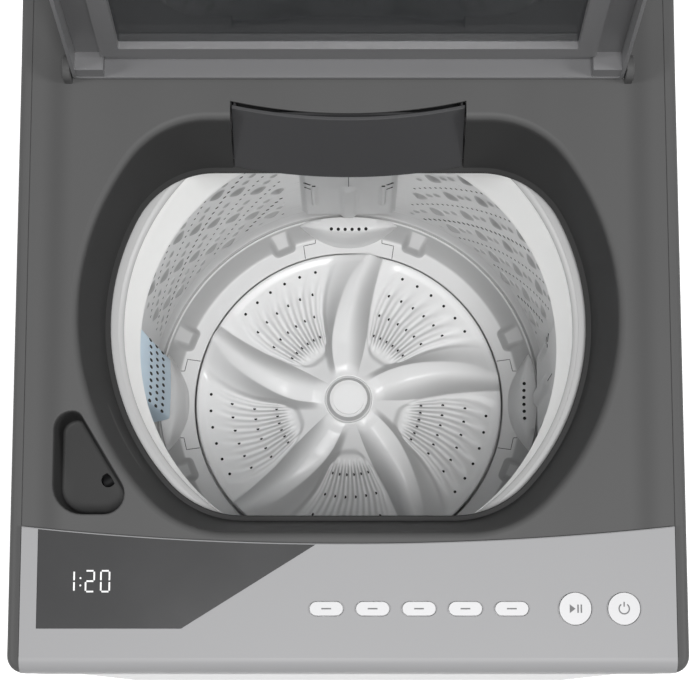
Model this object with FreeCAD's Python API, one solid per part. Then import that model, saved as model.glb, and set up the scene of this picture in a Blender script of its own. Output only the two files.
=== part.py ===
import FreeCAD, Part
import math
import os
from FreeCAD import Vector, Rotation, Placement

os.makedirs("parts", exist_ok=True)

# Top load washing machine.  Millimetres, +Z up, +Y towards the rear, +X to the user's right.
# The origin is on the floor, under the drum's axis, at the middle of the cabinet.

# Overall
machine_width = 560.0
machine_depth = 600.0
deck_height = 945.0
seat_gap = 0.3            # clearance between pieces that rest on each other
running_gap = 0.05        # radial clearance of a shaft in its bearing
touch = 0.1               # clearance of a sleeve or a spigot in its socket

# Cabinet
sheet = 1.0
rear_inset = 12.0         # the rear panel stands this far inside the top cover's rear edge
wrap_corner = 18.0
wrap_flange = 18.0
wrap_bottom = 48.0
panel_lap = 12.0          # height of the rear panel inside the top cover's skirt
base_height = 58.0
base_wall = 4.0
base_ground = 18.0
foot_radius = 21.0
foot_bore = 5.05
base_channel = 46.0       # width of the frame's channel section
base_skid_drop = 20.0     # the channel's inner wall ends this far under its top
foot_inset = 44.4         # from the cabinet's sides and front to the feet
foot_inset_rear = 36.0
foot_pad = 13.0
foot_collar = 13.0
foot_taper = 2.0
foot_boss = 42.0
foot_stem = 44.0
screw_rows = 4
screw_margin = 40.0
screw_margin_top = 30.0
screw_head_height = 2.4

# Top cover, its collar and the control fascia
cover_skirt = 65.0
cover_wall = 3.0
deck_plate = 3.5
cover_corner = 14.0
cover_edge = 7.0
side_rail = 10.5
rail_thick = 9.0
fascia_depth = 106.0
fascia_bow = 14.3
fascia_gap = 0.4
shelf_drop = 43.0
fascia_rise = 3.0
fascia_wall = 3.0
fascia_edge = 12.0
opening_margin = 14.5     # the collar's lip is this much wider than the tub's cover
opening_recess = 9.0      # the lip's rear edge lies this far behind the drawer front's foot
fascia_margin = 3.0       # deck between the fascia and the opening's rolled edge
lip_corner_front = 90.0
lip_corner_rear = 80.0
collar_depth = 62.0
collar_flare = 16.6
collar_flare_front = 13.5
collar_flare_rear = 27.0
collar_wall = 3.0
shoulder = 7.0
lip_ledge = 4.5
lip_ledge_height = 2.5

# Bleach cup in the deck's front left corner
cup_depth = 40.0
cup_taper = 6.0
cup_wall = 2.5
cup_inset = 35.0          # from the cabinet's left side
cup_margin = 24.0         # from the fascia's rear edge
cup_length = 86.0
cup_width = 22.5          # at the rear end
cup_slant = 52.0
cup_drain_side = 42.0     # drain hole, from the cup's left side and front end
cup_drain_front = 32.0
cup_drain_radius = 6.0
spout_wall = 2.0
spout_drop = 10.0
spout_reach = 22.0
spout_fall = 0.35

# Window, boards and buttons of the control fascia
window_inset = 24.5       # silver margin at the window's left end
window_gap = 6.7          # from the window's end to the first option button
window_slant = 1.6
window_front = 36.0       # silver margin in front of the glass
glass_thick = 2.5
board_thick = 1.6
button_travel = 1.5
button_proud = 1.2
button_gap = 0.35
round_button_radius = 13.0
option_button_length = 27.0
option_button_width = 11.0
option_button_count = 5
option_button_pitch = 38.0
option_button_gap = 52.0  # from the last option button to the start button
power_button_inset = 54.0
round_button_pitch = 40.0
button_row = 52.0         # rows of buttons lie this far behind the front edge
button_stem = 3.0
button_flange = 2.0
board_rise = 24.0         # height of the button board above the shelf
board_half_depth = 18.0
board_end = 24.0
switch_half = 4.0
switch_height = 3.0
post_radius = 4.0
control_box_front = 22.0
control_box_rear = 16.0
control_box_end = 41.3
control_box_height = 22.0
display_board_front = 40.0
display_board_rear = 18.0
display_board_end = 67.3
display_digits = 60.0
display_margin = 8.0
display_gap = 1.5

# Lid
lid_inset = 46.0          # from the cabinet's sides to the lid's
lid_front_gap = 8.5
hinge_inset = 92.0        # from the rear edge
hinge_rise = 9.5
hinge_tail = 6.0
lid_under = 2.2
lid_thick = 20.0
lid_skin = 3.0
lid_border = 34.0
lid_corner = 46.0
lid_open = 97.0
pin_radius = 4.0
pin_length = 20.0
lug_thick = 7.0
glass_lid_thick = 4.0
bumper_radius = 5.0

# Detergent drawer and its housing
drawer_half_width = 99.5
drawer_inset = 170.0        # from the rear edge to the lower edge of the drawer's front
drawer_front_slope = 0.62   # run of the slanted front per unit of height
drawer_front_bow = 510.0
drawer_front_thick = 3.0
drawer_front_drop = 4.0     # the front reaches this far under the drawer's floor
drawer_front_head = 3.0     # and ends this far under the deck
drawer_length = 118.0
drawer_wall = 2.0
drawer_divider = 38.0
drawer_drop = 57.0
drawer_height = 44.0
drawer_gap = 0.5
drawer_side_gap = 1.2
drawer_travel = 110.0
tab_inset = 14.0
tab_half = 6.0
tab_length = 16.0
tab_height = 20.0
siphon_radius = 4.0
siphon_bore = 2.5
siphon_height = 22.0
siphon_inset = 30.0
cap_length = 46.0
cap_drop = 7.0
cap_clearance = 1.5
housing_wall = 2.0
spigot_inset = 30.0       # the water spigot lies this far in front of the housing's rear face

# Tub, drum and pulsator
tub_room = 26.4           # clear space round the tub for its swing
tub_cover_lap = 3.0
tub_wall = 4.0
tub_rim_drop = 79.0
tub_floor_height = 326.0
tub_lug_height = 520.0
tub_lug_thick = 12.0
tub_lug_reach = 17.0
tub_lug_half = 22.0
tub_lug_rib = 30.0
tub_lug_play = 2.0
tub_rib_count = 16
tub_rib_reach = 6.0
tub_rib_half = 1.5
tub_rib_height = 130.0
tub_boss_radius = 9.0
tub_boss_x = 95.0
tub_boss_edge = 14.0
tub_cover_drop = 73.0
tub_cover_reach = 46.1
tub_cover_thick = 3.0
tub_cover_nose = 1.2
tub_cover_skirt = 12.0
tub_cover_hole = 5.0
ring_drop = 81.0
ring_height = 108.0
ring_room = 16.0          # clear space between the balance ring and the tub
ring_width = 29.0
ring_lean = 5.4
drum_step = 11.0          # the drum is this much smaller than the balance ring
drum_sheet = 0.8
pulsator_step = 48.1      # the pulsator is this much smaller than the drum
pulsator_rim_height = 385.0
pulsator_gap = 2.0
pulsator_thick = 3.0
pulsator_dome = 36.0
hub_radius = 26.0
pulsator_skirt = 16.0
cap_depth = 12.0
vane_count = 5
vane_height = 16.0
vane_root = 90.4
vane_sweep = 9.7
vane_flank = 19.0
vane_slope = 46.0
base_flat_drop = 7.0
base_slope_foot = 29.0    # from the drum's wall to the foot and the head of the base's slope
base_slope_head = 11.0
base_rim_rise = 4.0
base_shell = 4.0
well_depth = 30.0
boss_width = 26.0
base_cover_turn = 15.5
base_cover_height = 15.0
channel_half_width = 51.0
channel_depth = 12.0
channel_foot_gap = 14.0
channel_head_gap = 23.0
channel_wall = 2.5
filter_half_width = 36.0
filter_drop = 41.0        # the filter hangs this far under the balance ring
filter_rise = 91.0        # height of its foot above the base's rim
filter_foot_depth = 29.0
filter_top_depth = 13.0
filter_wall = 2.0
filter_slot_rows = 7
filter_slot_columns = 3
filter_travel = 30.0

# Drive
spin_shaft_radius = 15.0
drive_shaft_radius = 8.0
gearbox_radius = 62.0
gearbox_height = 84.0
bearing_radius = 26.0
bearing_height = 15.0
drive_plate_thick = 3.0
drive_plate_drop = 30.0
motor_radius = 62.0
motor_height = 92.0
motor_offset = -160.0
motor_shaft_radius = 7.0
motor_pulley_radius = 25.0
drive_pulley_radius = 80.0
pulley_thick = 18.0
belt_thick = 4.0
belt_width = 10.0
pulley_level = 172.0
drive_plate_width = 150.0

# Suspension
rod_inset = 20.0          # the rods stand on a square this much inside the tub's radius
rod_radius = 4.0
rod_head = 11.0           # the rod's top stands this far above its bracket's underside
rod_head_radius = 10.0
rod_head_height = 6.0
bracket_drop = 42.0       # from the top cover's skirt to the brackets
bracket_thick = 3.0
bracket_margin = 22.8     # plate beyond the rod's axis
bracket_lip = 24.0
bracket_lip_inset = 28.0
bracket_bore_gap = 1.5
cup_radius = 20.0
spring_room = 74.0        # from the rod's foot to the tub's lug
rod_foot_thick = 7.0
spring_radius = 13.5
spring_wire = 2.0
spring_turns = 6

# Water and power
inlet_radius = 13.2
inlet_length = 18.0
inlet_tip = 1.0           # the inlet ends this far inside the rear edge
inlet_shoulder = 1.0
inlet_flange = 5.0
inlet_flange_thick = 4.0
inlet_x = 160.0
inlet_drop = 27.0         # from the deck to the inlet's axis
inlet_bay_half = 24.0     # bay in the rear skirt that gives room for the hose nut
inlet_bay_rise = 22.0
inlet_bay_depth = 20.0
inlet_bay_wall = 2.5
valve_body_half = 15.0
valve_body_rise = 12.0
valve_coil_half = 13.0
valve_coil_length = 19.0
hose_radius = 8.0
hose_wall = 2.0
hose_seat = 14.0
outlet_radius = 15.0
outlet_shoulder = 1.0
outlet_wall = 2.5
outlet_height = 105.0
outlet_rise = 22.0
outlet_length = 22.0
outlet_collar = 5.0
outlet_collar_thick = 4.0
outlet_bay_half = 26.0    # pressed bay in the rear panel round the drain spigot
outlet_bay_depth = 16.0
valve_x = 120.0
valve_y = 150.0
valve_radius = 27.0
valve_height = 58.0
bellows_fold = 3.0
bellows_folds = 7
valve_spigot = 24.0
valve_wall = 4.0
valve_motor_length = 46.0
valve_motor_half = 18.0
gland_inset = 76.4        # from the cabinet's side to the cord gland
gland_drop = 125.0
gland_radius = 9.0
gland_bore = 4.0
gland_length = 18.0
gland_nut = 4.0
lock_gap = 6.0
lock_width = 24.0
lock_front = -70.0
lock_length = 60.0
lock_height = 26.0
lock_slot_start = 20.0
lock_slot_length = 16.0
lock_slot_width = 8.0
lock_slot_depth = 14.0
sensor_x = -168.0
sensor_inset = 42.0
sensor_radius = 22.0
sensor_height = 16.0
sensor_nipple = 4.0
screw_radius = 2.0
screw_head = 4.0
screw_length = 12.0

# Levels and edges worked out from the sizes above
half_width = machine_width / 2
front_y = -machine_depth / 2
rear_y = machine_depth / 2
cover_bottom = deck_height - cover_skirt
lip_z = deck_height - collar_depth
shelf_top = deck_height - shelf_drop
rail_x = half_width - side_rail
fascia_top = deck_height + fascia_rise
wrap_x = half_width - cover_wall - 2 * seat_gap
wrap_front = front_y + cover_wall + 2 * seat_gap
wrap_top = shelf_top - cover_wall - seat_gap
panel_y = rear_y - rear_inset
tub_inner_radius = min(wrap_x, panel_y) - sheet - tub_room - tub_cover_lap - tub_wall
tub_cover_inner = tub_inner_radius - tub_cover_reach
ring_outer = tub_inner_radius - ring_room
ring_inner_top = ring_outer - ring_width
ring_inner_bottom = ring_inner_top - ring_lean
drum_radius = ring_outer - drum_step
pulsator_radius = drum_radius - pulsator_step
base_slope_inner = drum_radius - base_slope_foot
base_slope_outer = drum_radius - base_slope_head
drawer_front_foot = rear_y - drawer_inset
opening_radius = tub_cover_inner + opening_margin    # the collar's lip, about the drum axis
opening_front = -front_y - fascia_depth - fascia_margin - shoulder - collar_flare_front
opening_rear = drawer_front_foot + opening_recess
cup_left = cup_inset - half_width
cup_nose = cup_left + cup_width
cup_front = front_y + fascia_depth + cup_margin
cup_rear = cup_front + cup_length
cup_drain_x = cup_left + cup_drain_side
cup_drain_y = cup_front + cup_drain_front
power_button_x = half_width - power_button_inset
start_button_x = power_button_x - round_button_pitch
option_button_first = (start_button_x - option_button_gap
                       - option_button_pitch * (option_button_count - 1))
window_left = window_inset - half_width
window_right = option_button_first - window_gap
lid_half_width = half_width - lid_inset
hinge_y = rear_y - hinge_inset
tub_rim = deck_height - tub_rim_drop
tub_cover_top = deck_height - tub_cover_drop
ring_top = deck_height - ring_drop
ring_bottom = ring_top - ring_height
base_flat = pulsator_rim_height - base_flat_drop
base_rim = pulsator_rim_height + base_rim_rise
well_floor = base_flat - well_depth
well_radius = pulsator_radius + pulsator_gap
flange_top = well_floor - base_shell
drive_plate_top = tub_floor_height - tub_wall - drive_plate_drop
gearbox_bottom = drive_plate_top - drive_plate_thick - gearbox_height
hinge_z = deck_height + hinge_rise
channel_foot = base_rim + channel_foot_gap
channel_height = ring_bottom - channel_head_gap - channel_foot
filter_foot = base_rim + filter_rise
filter_height = ring_bottom - filter_drop - filter_foot
bracket_height = cover_bottom - bracket_drop
rod_top = bracket_height + rod_head
rod_foot_height = tub_lug_height - spring_room
inlet_z = deck_height - inlet_drop
inlet_bay_y = rear_y - inlet_bay_depth
outlet_bay_y = panel_y - outlet_bay_depth
gland_x = gland_inset - wrap_x
gland_z = deck_height - gland_drop
drawer_floor = deck_height - drawer_drop
drawer_front_axis = drawer_front_foot + drawer_front_bow


def block(x0, x1, y0, y1, z0, z1):
    """Box between two corners."""
    return Part.makeBox(x1 - x0, y1 - y0, z1 - z0, Vector(x0, y0, z0))


def rod(radius, z0, z1, x=0.0, y=0.0):
    """Upright cylinder."""
    return Part.makeCylinder(radius, z1 - z0, Vector(x, y, z0))


def pipe(outer, inner, z0, z1, x=0.0, y=0.0):
    """Upright tube."""
    return rod(outer, z0, z1, x, y).cut(rod(inner, z0 - 1, z1 + 1, x, y))


def prism(points, z0, z1):
    """Upright prism over a polygon."""
    corners = [Vector(x, y, z0) for x, y in points]
    face = Part.Face(Part.makePolygon(corners + corners[:1]))
    return face.extrude(Vector(0, 0, z1 - z0))


def turned(profile, angle=360.0, start=0.0):
    """Solid of revolution about the drum axis from (radius, height) points."""
    corners = [Vector(r, 0, z) for r, z in profile]
    face = Part.Face(Part.makePolygon(corners + corners[:1]))
    solid = face.revolve(Vector(0, 0, 0), Vector(0, 0, 1), angle)
    solid.rotate(Vector(0, 0, 0), Vector(0, 0, 1), start)
    return solid


def spun(shape, degrees):
    """Copy turned about the drum axis."""
    copy = shape.copy()
    copy.rotate(Vector(0, 0, 0), Vector(0, 0, 1), degrees)
    return copy


def fused(shapes):
    """One solid from overlapping solids."""
    whole = shapes[0]
    if len(shapes) > 1:
        whole = whole.fuse(shapes[1:])
    return whole.removeSplitter()


def cut_all(shape, tools):
    """Shape less every tool."""
    return shape.cut(Part.makeCompound(tools))


def rounded_outline(corners, z):
    """Closed outline through corners given as (x, y, radius), each corner rounded by an arc."""
    edges = []
    starts = []
    ends = []
    mids = []
    count = len(corners)
    for i in range(count):
        x, y, radius = corners[i]
        here = Vector(x, y, z)
        back = Vector(corners[i - 1][0], corners[i - 1][1], z) - here
        ahead = Vector(corners[(i + 1) % count][0], corners[(i + 1) % count][1], z) - here
        back.normalize()
        ahead.normalize()
        half = back.getAngle(ahead) / 2
        run = radius / math.tan(half)
        inward = back + ahead
        inward.normalize()
        centre = here + inward * (radius / math.sin(half))
        starts.append(here + back * run)
        ends.append(here + ahead * run)
        mids.append(centre - inward * radius)
    for i in range(count):
        edges.append(Part.Arc(starts[i], mids[i], ends[i]).toShape())
        following = starts[(i + 1) % count]
        if (following - ends[i]).Length > 0.001:
            edges.append(Part.makeLine(ends[i], following))
    return Part.Wire(edges)


def opening_outline(radius, front, rear, corner_front, corner_rear, z):
    """Circle about the drum axis, cut straight at the front and the rear, with rounded corners."""
    points = []
    for side, offset, corner in ((1, rear, corner_rear), (-1, front, corner_front)):
        centre_y = offset - corner
        reach = radius - corner
        centre_x = math.sqrt(reach * reach - centre_y * centre_y)
        tangent = Vector(centre_x, centre_y, 0) * (radius / reach)
        middle = Vector(centre_x, centre_y, 0)
        outward = (Vector(0, 1, 0) + Vector(centre_x, centre_y, 0) * (1 / reach))
        outward.normalize()
        middle = middle + outward * corner
        points.append((centre_x, offset * side, tangent.x, tangent.y * side,
                       middle.x, middle.y * side))
    rear_x, rear_line, rear_tx, rear_ty, rear_mx, rear_my = points[0]
    front_x, front_line, front_tx, front_ty, front_mx, front_my = points[1]

    def at(x, y):
        return Vector(x, y, z)

    edges = [
        Part.makeLine(at(-rear_x, rear_line), at(rear_x, rear_line)),
        Part.Arc(at(rear_x, rear_line), at(rear_mx, rear_my), at(rear_tx, rear_ty)).toShape(),
        Part.Arc(at(rear_tx, rear_ty), at(radius, 0), at(front_tx, front_ty)).toShape(),
        Part.Arc(at(front_tx, front_ty), at(front_mx, front_my), at(front_x, front_line)).toShape(),
        Part.makeLine(at(front_x, front_line), at(-front_x, front_line)),
        Part.Arc(at(-front_x, front_line), at(-front_mx, front_my), at(-front_tx, front_ty)).toShape(),
        Part.Arc(at(-front_tx, front_ty), at(-radius, 0), at(-rear_tx, rear_ty)).toShape(),
        Part.Arc(at(-rear_tx, rear_ty), at(-rear_mx, rear_my), at(-rear_x, rear_line)).toShape(),
    ]
    return Part.Wire(edges)


def collar_level(share, grow, z):
    """Outline of the collar, share 0 at its lower lip and 1 at the deck, grown outwards."""
    return opening_outline(
        opening_radius + collar_flare * share + grow,
        opening_front + collar_flare_front * share + grow,
        opening_rear + collar_flare_rear * share + grow,
        lip_corner_front + grow,
        lip_corner_rear + grow,
        z)


def loft(wires):
    """Ruled solid through closed outlines."""
    return Part.makeLoft(wires, True, True)


def fascia_region(grow, z0, z1, side):
    """Prism of the control fascia's place: straight front, rear edge bowed towards the user."""
    rear_side = front_y + fascia_depth + fascia_bow + grow
    rear_middle = front_y + fascia_depth + grow
    low = front_y - 5
    left = Vector(-side, rear_side, z0)
    right = Vector(side, rear_side, z0)
    edges = [
        Part.Arc(left, Vector(0, rear_middle, z0), right).toShape(),
        Part.makeLine(right, Vector(side, low, z0)),
        Part.makeLine(Vector(side, low, z0), Vector(-side, low, z0)),
        Part.makeLine(Vector(-side, low, z0), left),
    ]
    return Part.Face(Part.Wire(edges)).extrude(Vector(0, 0, z1 - z0))


def upright_edges(shape):
    """Edges that run along Z."""
    found = []
    for edge in shape.Edges:
        if len(edge.Vertexes) == 2:
            first, last = edge.Vertexes[0].Point, edge.Vertexes[1].Point
            if abs(first.x - last.x) < 0.001 and abs(first.y - last.y) < 0.001:
                found.append(edge)
    return found


def cabinet_wrap():
    """Painted steel sheet bent round the front and both sides, with flanges at the rear and top."""
    top = wrap_top
    outer = block(-wrap_x, wrap_x, wrap_front, panel_y, wrap_bottom, top)
    front_edges = [e for e in upright_edges(outer) if e.Vertexes[0].Point.y < 0]
    outer = outer.makeFillet(wrap_corner, front_edges)
    inner = block(-wrap_x + sheet, wrap_x - sheet, wrap_front + sheet, panel_y + 1,
                  wrap_bottom - 1, top - sheet)
    inner_edges = [e for e in upright_edges(inner) if e.Vertexes[0].Point.y < 0]
    inner = inner.makeFillet(wrap_corner - sheet, inner_edges)
    shell = outer.cut(inner)
    mouth = block(-wrap_x + wrap_flange, wrap_x - wrap_flange, wrap_front + wrap_flange,
                  panel_y + 1, top - sheet - 1, top + 1)
    shell = shell.cut(mouth)
    flanges = [block(side * wrap_x - (wrap_flange if side > 0 else 0),
                     side * wrap_x + (0 if side > 0 else wrap_flange),
                     panel_y - sheet, panel_y, wrap_bottom, top) for side in (-1, 1)]
    shell = fused([shell] + flanges)
    return cut_all(shell, screw_holes())


def screw_places():
    """Heights and sides of the screws that hold the rear panel."""
    low = wrap_bottom + screw_margin
    step = (cover_bottom - screw_margin_top - low) / (screw_rows - 1)
    return [(side * (wrap_x - wrap_flange / 2), low + step * row)
            for side in (-1, 1) for row in range(screw_rows)]


def screw_holes():
    """Holes for the rear panel's screws."""
    return [Part.makeCylinder(screw_radius + touch, 30, Vector(x, panel_y - 15, z), Vector(0, 1, 0))
            for x, z in screw_places()]


def panel_screws():
    """Pan head screws of the rear panel."""
    screws = []
    for x, z in screw_places():
        start = panel_y - screw_length
        shank = Part.makeCylinder(screw_radius, screw_length + sheet, Vector(x, start, z), Vector(0, 1, 0))
        head = Part.makeCylinder(screw_head, screw_head_height, Vector(x, panel_y + sheet, z),
                                 Vector(0, 1, 0))
        screws.append(fused([shank, head]))
    return Part.makeCompound(screws)


def rear_panel():
    """Flat steel rear wall with a pressed bay round the drain spigot and a hole for the cord gland."""
    panel = block(-wrap_x, wrap_x, panel_y, panel_y + sheet, wrap_bottom, cover_bottom + panel_lap)
    half = outlet_bay_half
    low, high = outlet_height - half, outlet_height + half
    bay = block(valve_x - half, valve_x + half, outlet_bay_y, panel_y + sheet, low, high)
    room = block(valve_x - half + sheet, valve_x + half - sheet, outlet_bay_y + sheet,
                 panel_y + 2 * sheet, low + sheet, high - sheet)
    panel = fused([panel, bay]).cut(room)
    holes = screw_holes()
    holes.append(Part.makeCylinder(outlet_radius + outlet_shoulder + seat_gap, 3 * sheet,
                                   Vector(valve_x, outlet_bay_y - sheet, outlet_height),
                                   Vector(0, 1, 0)))
    holes.append(Part.makeCylinder(gland_radius + touch, 3 * sheet,
                                   Vector(gland_x, panel_y - sheet, gland_z), Vector(0, 1, 0)))
    return cut_all(panel, holes)


def foot_places():
    """Centres of the four feet."""
    x = wrap_x - foot_inset
    front, rear = wrap_front + foot_inset, panel_y - foot_inset_rear
    return [(-x, front), (x, front), (-x, rear), (x, rear)]


def base_frame():
    """Moulded frame under the cabinet, a ring of channel section with four foot bosses."""
    top = base_ground + base_height
    outer_x = wrap_x - sheet - seat_gap
    outer_front = wrap_front + sheet + seat_gap
    outer_rear = panel_y - sheet - seat_gap
    rim = base_channel
    corner = wrap_corner - sheet
    outline = [(-outer_x, outer_front, corner), (outer_x, outer_front, corner),
               (outer_x, outer_rear, 3), (-outer_x, outer_rear, 3)]
    ring = Part.Face(rounded_outline(outline, base_ground)).extrude(Vector(0, 0, base_height))
    ring = ring.cut(block(-outer_x + base_wall, outer_x - base_wall, outer_front + base_wall,
                          outer_rear - base_wall, base_ground + base_wall, top + 1))
    ring = ring.cut(block(-outer_x + rim, outer_x - rim, outer_front + rim, outer_rear - rim,
                          base_ground - 1, top))
    bosses = [rod(foot_radius, base_ground, base_ground + foot_boss, x, y)
              for x, y in foot_places()]
    skid = [block(-outer_x + rim - base_wall, outer_x - rim + base_wall, y - base_wall / 2,
                  y + base_wall / 2, base_ground, top - base_skid_drop)
            for y in (outer_front + rim, outer_rear - rim)]
    skid += [block(x - base_wall / 2, x + base_wall / 2, outer_front + rim, outer_rear - rim,
                   base_ground, top - base_skid_drop) for x in (-outer_x + rim, outer_x - rim)]
    ring = fused([ring] + bosses + skid)
    return cut_all(ring, [rod(foot_bore, base_ground - 1, top, x, y) for x, y in foot_places()])


def foot(x, y):
    """Rubber pad and threaded stem of one foot."""
    pad = Part.makeCone(foot_radius, foot_radius - foot_taper, foot_pad, Vector(x, y, 0))
    collar = rod(foot_collar, foot_pad, base_ground - seat_gap, x, y)
    stem = rod(foot_bore - running_gap, foot_pad, foot_pad + foot_stem, x, y)
    return fused([pad, collar, stem])


def bleach_outline(inset, z):
    """Plan of the bleach cup: upright left side, slanted right side, rounded corners."""
    corners = [(cup_left, cup_rear, 15), (cup_nose, cup_rear, 9),
               (cup_nose + cup_slant, cup_front, 17), (cup_left, cup_front, 25)]
    outline = rounded_outline(corners, z)
    if inset == 0:
        return outline
    return outline.makeOffset2D(-inset)


def top_cover():
    """Moulded top: deck, skirt, collar round the opening, shelf for the fascia, bleach cup, lugs."""
    outer = block(-half_width, half_width, front_y, rear_y, cover_bottom, deck_height)
    outer = outer.makeFillet(cover_corner, upright_edges(outer))
    side_edges = [e for e in outer.Edges
                  if abs(e.CenterOfMass.z - deck_height) < 0.01 and abs(e.CenterOfMass.x) > half_width - 10]
    outer = outer.makeFillet(cover_edge, side_edges)
    inner_x = half_width - cover_wall
    under = block(-inner_x, inner_x, front_y + cover_wall, rear_y - cover_wall,
                  cover_bottom - 1, deck_height - deck_plate)
    under = under.makeFillet(cover_corner - cover_wall, upright_edges(under))
    rail_low = deck_height - rail_thick
    under = under.cut(block(-inner_x - 1, -rail_x + fascia_gap, front_y, rear_y, rail_low, deck_height))
    under = under.cut(block(rail_x - fascia_gap, inner_x + 1, front_y, rear_y, rail_low, deck_height))
    shelf_under = shelf_top - cover_wall
    behind = under.cut(fascia_region(cover_wall, cover_bottom - 2, deck_height + 1, half_width + 5))
    beneath = under.common(block(-half_width, half_width, front_y, rear_y, cover_bottom - 2, shelf_under))
    pocket = fascia_region(0, shelf_top, deck_height + 5, rail_x)
    body = outer.cut(behind).cut(beneath).cut(pocket)

    deck_inside = deck_height - deck_plate + 1
    walls = loft([collar_level(0, collar_wall, lip_z - lip_ledge_height),
                  collar_level(1, collar_wall, deck_inside)])
    round_over = [(0.0, deck_height - shoulder), (0.9, deck_height - shoulder * 0.45),
                  (2.8, deck_height - shoulder * 0.14), (shoulder, deck_height)]
    levels = [collar_level(0, 0, lip_z)] + [collar_level(1, grow, z) for grow, z in round_over]
    levels.append(collar_level(1, shoulder, deck_height + 5))
    mouth = loft(levels)
    throat = loft([collar_level(0, -lip_ledge, lip_z - 30), collar_level(0, -lip_ledge, lip_z + 2)])
    body = body.fuse(walls).cut(mouth).cut(throat)

    cup_floor = deck_height - cup_depth
    cup_outer = loft([bleach_outline(cup_taper - cup_wall, cup_floor - cup_wall),
                      bleach_outline(-cup_wall, deck_inside)])
    cup_inner = loft([bleach_outline(cup_taper, cup_floor), bleach_outline(0, deck_height + 0.1)])
    body = body.fuse(cup_outer).cut(cup_inner)
    body = body.cut(rod(cup_drain_radius, cup_floor - 2 * cup_wall, cup_floor + 1, cup_drain_x,
                        cup_drain_y))

    window_x = drawer_half_width + drawer_side_gap
    start = drawer_front_foot - drawer_front_drop * 2 - collar_flare_rear
    passage = block(-window_x, window_x, start, drawer_back_y(deck_height) + 1,
                    drawer_floor - drawer_front_drop - drawer_gap, deck_height - deck_plate)
    notch = block(-window_x, window_x, start, drawer_back_y(deck_height) + 1,
                  drawer_floor, deck_height + 5)
    notch_radius = drawer_front_axis - drawer_front_y(deck_height) - drawer_front_thick - drawer_gap
    notch = notch.cut(rod(notch_radius, drawer_floor - 1, deck_height + 6, 0, drawer_front_axis))
    body = body.cut(passage.fuse(notch))

    pin_x = lid_half_width + 1
    lugs = []
    for side in (-1, 1):
        inner, outer_face = side * pin_x, side * (pin_x + lug_thick)
        low, high = min(inner, outer_face), max(inner, outer_face)
        cheek = block(low, high, hinge_y - 11, hinge_y + 11, deck_height - 1, hinge_z)
        cap = Part.makeCylinder(11, high - low, Vector(low, hinge_y, hinge_z), Vector(1, 0, 0))
        lugs.append(cheek.fuse(cap))
    body = body.fuse(lugs)
    wall = inlet_bay_wall
    body = body.fuse(inlet_bay(wall, inlet_bay_y - wall)).cut(inlet_bay(0, inlet_bay_y))
    bores = [Part.makeCylinder(pin_radius + running_gap, 2 * half_width,
                               Vector(-half_width, hinge_y, hinge_z), Vector(1, 0, 0))]
    bores.append(Part.makeCylinder(inlet_radius + inlet_shoulder + seat_gap, 3 * wall,
                                   Vector(inlet_x, inlet_bay_y - 2 * wall, inlet_z),
                                   Vector(0, 1, 0)))
    body = cut_all(body, bores)
    return body.removeSplitter()


def inlet_bay(grow, start):
    """Block of the bay round the water inlet, from start to the rear edge, grown by a wall."""
    end = rear_y - (cover_wall / 2 if grow > 0 else -cover_wall)
    half, rise = inlet_bay_half + grow, inlet_bay_rise + grow
    return block(inlet_x - half, inlet_x + half, start, end, inlet_z - rise, inlet_z + rise)


def drawer_front_y(z):
    """Y of the drawer front's outer face at its middle."""
    return drawer_front_foot + (z - drawer_floor + drawer_front_drop) * drawer_front_slope


def drawer_back_y(z):
    """Y of the drawer front's inner face at its ends, where the bow brings it furthest back."""
    radius = drawer_front_axis - drawer_front_y(z) - drawer_front_thick
    return drawer_front_axis - math.sqrt(radius ** 2 - drawer_half_width ** 2)


def fascia_panel():
    """Silver control fascia: shell with a rounded front edge, a pocket for glass, button holes."""
    side = rail_x - fascia_gap
    low = shelf_top + seat_gap
    region = fascia_region(-fascia_gap, low, fascia_top, side)
    trim = block(-half_width, half_width, front_y, rear_y, low - 1, fascia_top + 1)
    body = region.common(trim)
    front_top = [e for e in body.Edges
                 if abs(e.CenterOfMass.z - fascia_top) < 0.01 and abs(e.CenterOfMass.y - front_y) < 0.01]
    body = body.makeFillet(fascia_edge, front_top)
    hollow = fascia_region(-fascia_gap - fascia_wall, low - 1, fascia_top - fascia_wall, side - fascia_wall)
    hollow = hollow.common(block(-half_width, half_width, front_y + fascia_wall, rear_y,
                                 low - 2, fascia_top))
    hollow_front = [e for e in hollow.Edges
                    if abs(e.CenterOfMass.z - fascia_top + fascia_wall) < 0.01
                    and abs(e.CenterOfMass.y - front_y - fascia_wall) < 0.01]
    hollow = hollow.makeFillet(fascia_edge - fascia_wall, hollow_front)
    body = body.cut(hollow)
    ledge = window_outline(0, fascia_top - glass_thick, fascia_top + 1)
    through = window_outline(-5, fascia_top - 20, fascia_top + 1)
    seat = window_outline(4, fascia_top - glass_thick - fascia_wall, fascia_top - glass_thick)
    seat = seat.common(region)
    body = body.fuse(seat).cut(ledge).cut(through)
    return cut_all(body, [button_hole(*place) for place in button_places()]).removeSplitter()


def window_outline(grow, z0, z1):
    """Prism of the dark window: it follows the fascia's rear edge and ends in a slant."""
    region = fascia_region(-fascia_gap - 1 + grow, z0, z1, half_width)
    rear = front_y + fascia_depth
    near = front_y + window_front - grow
    slanted = prism([(window_left - grow, near), (window_left - grow, rear + 20),
                     (window_right + window_slant * 20 + grow, rear + 20),
                     (window_right - window_slant * (rear - near) + grow, near)], z0, z1)
    return region.common(slanted)


def button_places():
    """Name, shape and centre of every button on the fascia."""
    y = front_y + button_row
    places = [("power_button", "round", power_button_x, y), ("start_button", "round", start_button_x, y)]
    for i in range(option_button_count):
        name = "option_button_%d" % (i + 1)
        places.append((name, "long", option_button_first + option_button_pitch * i, y))
    return places


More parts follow.
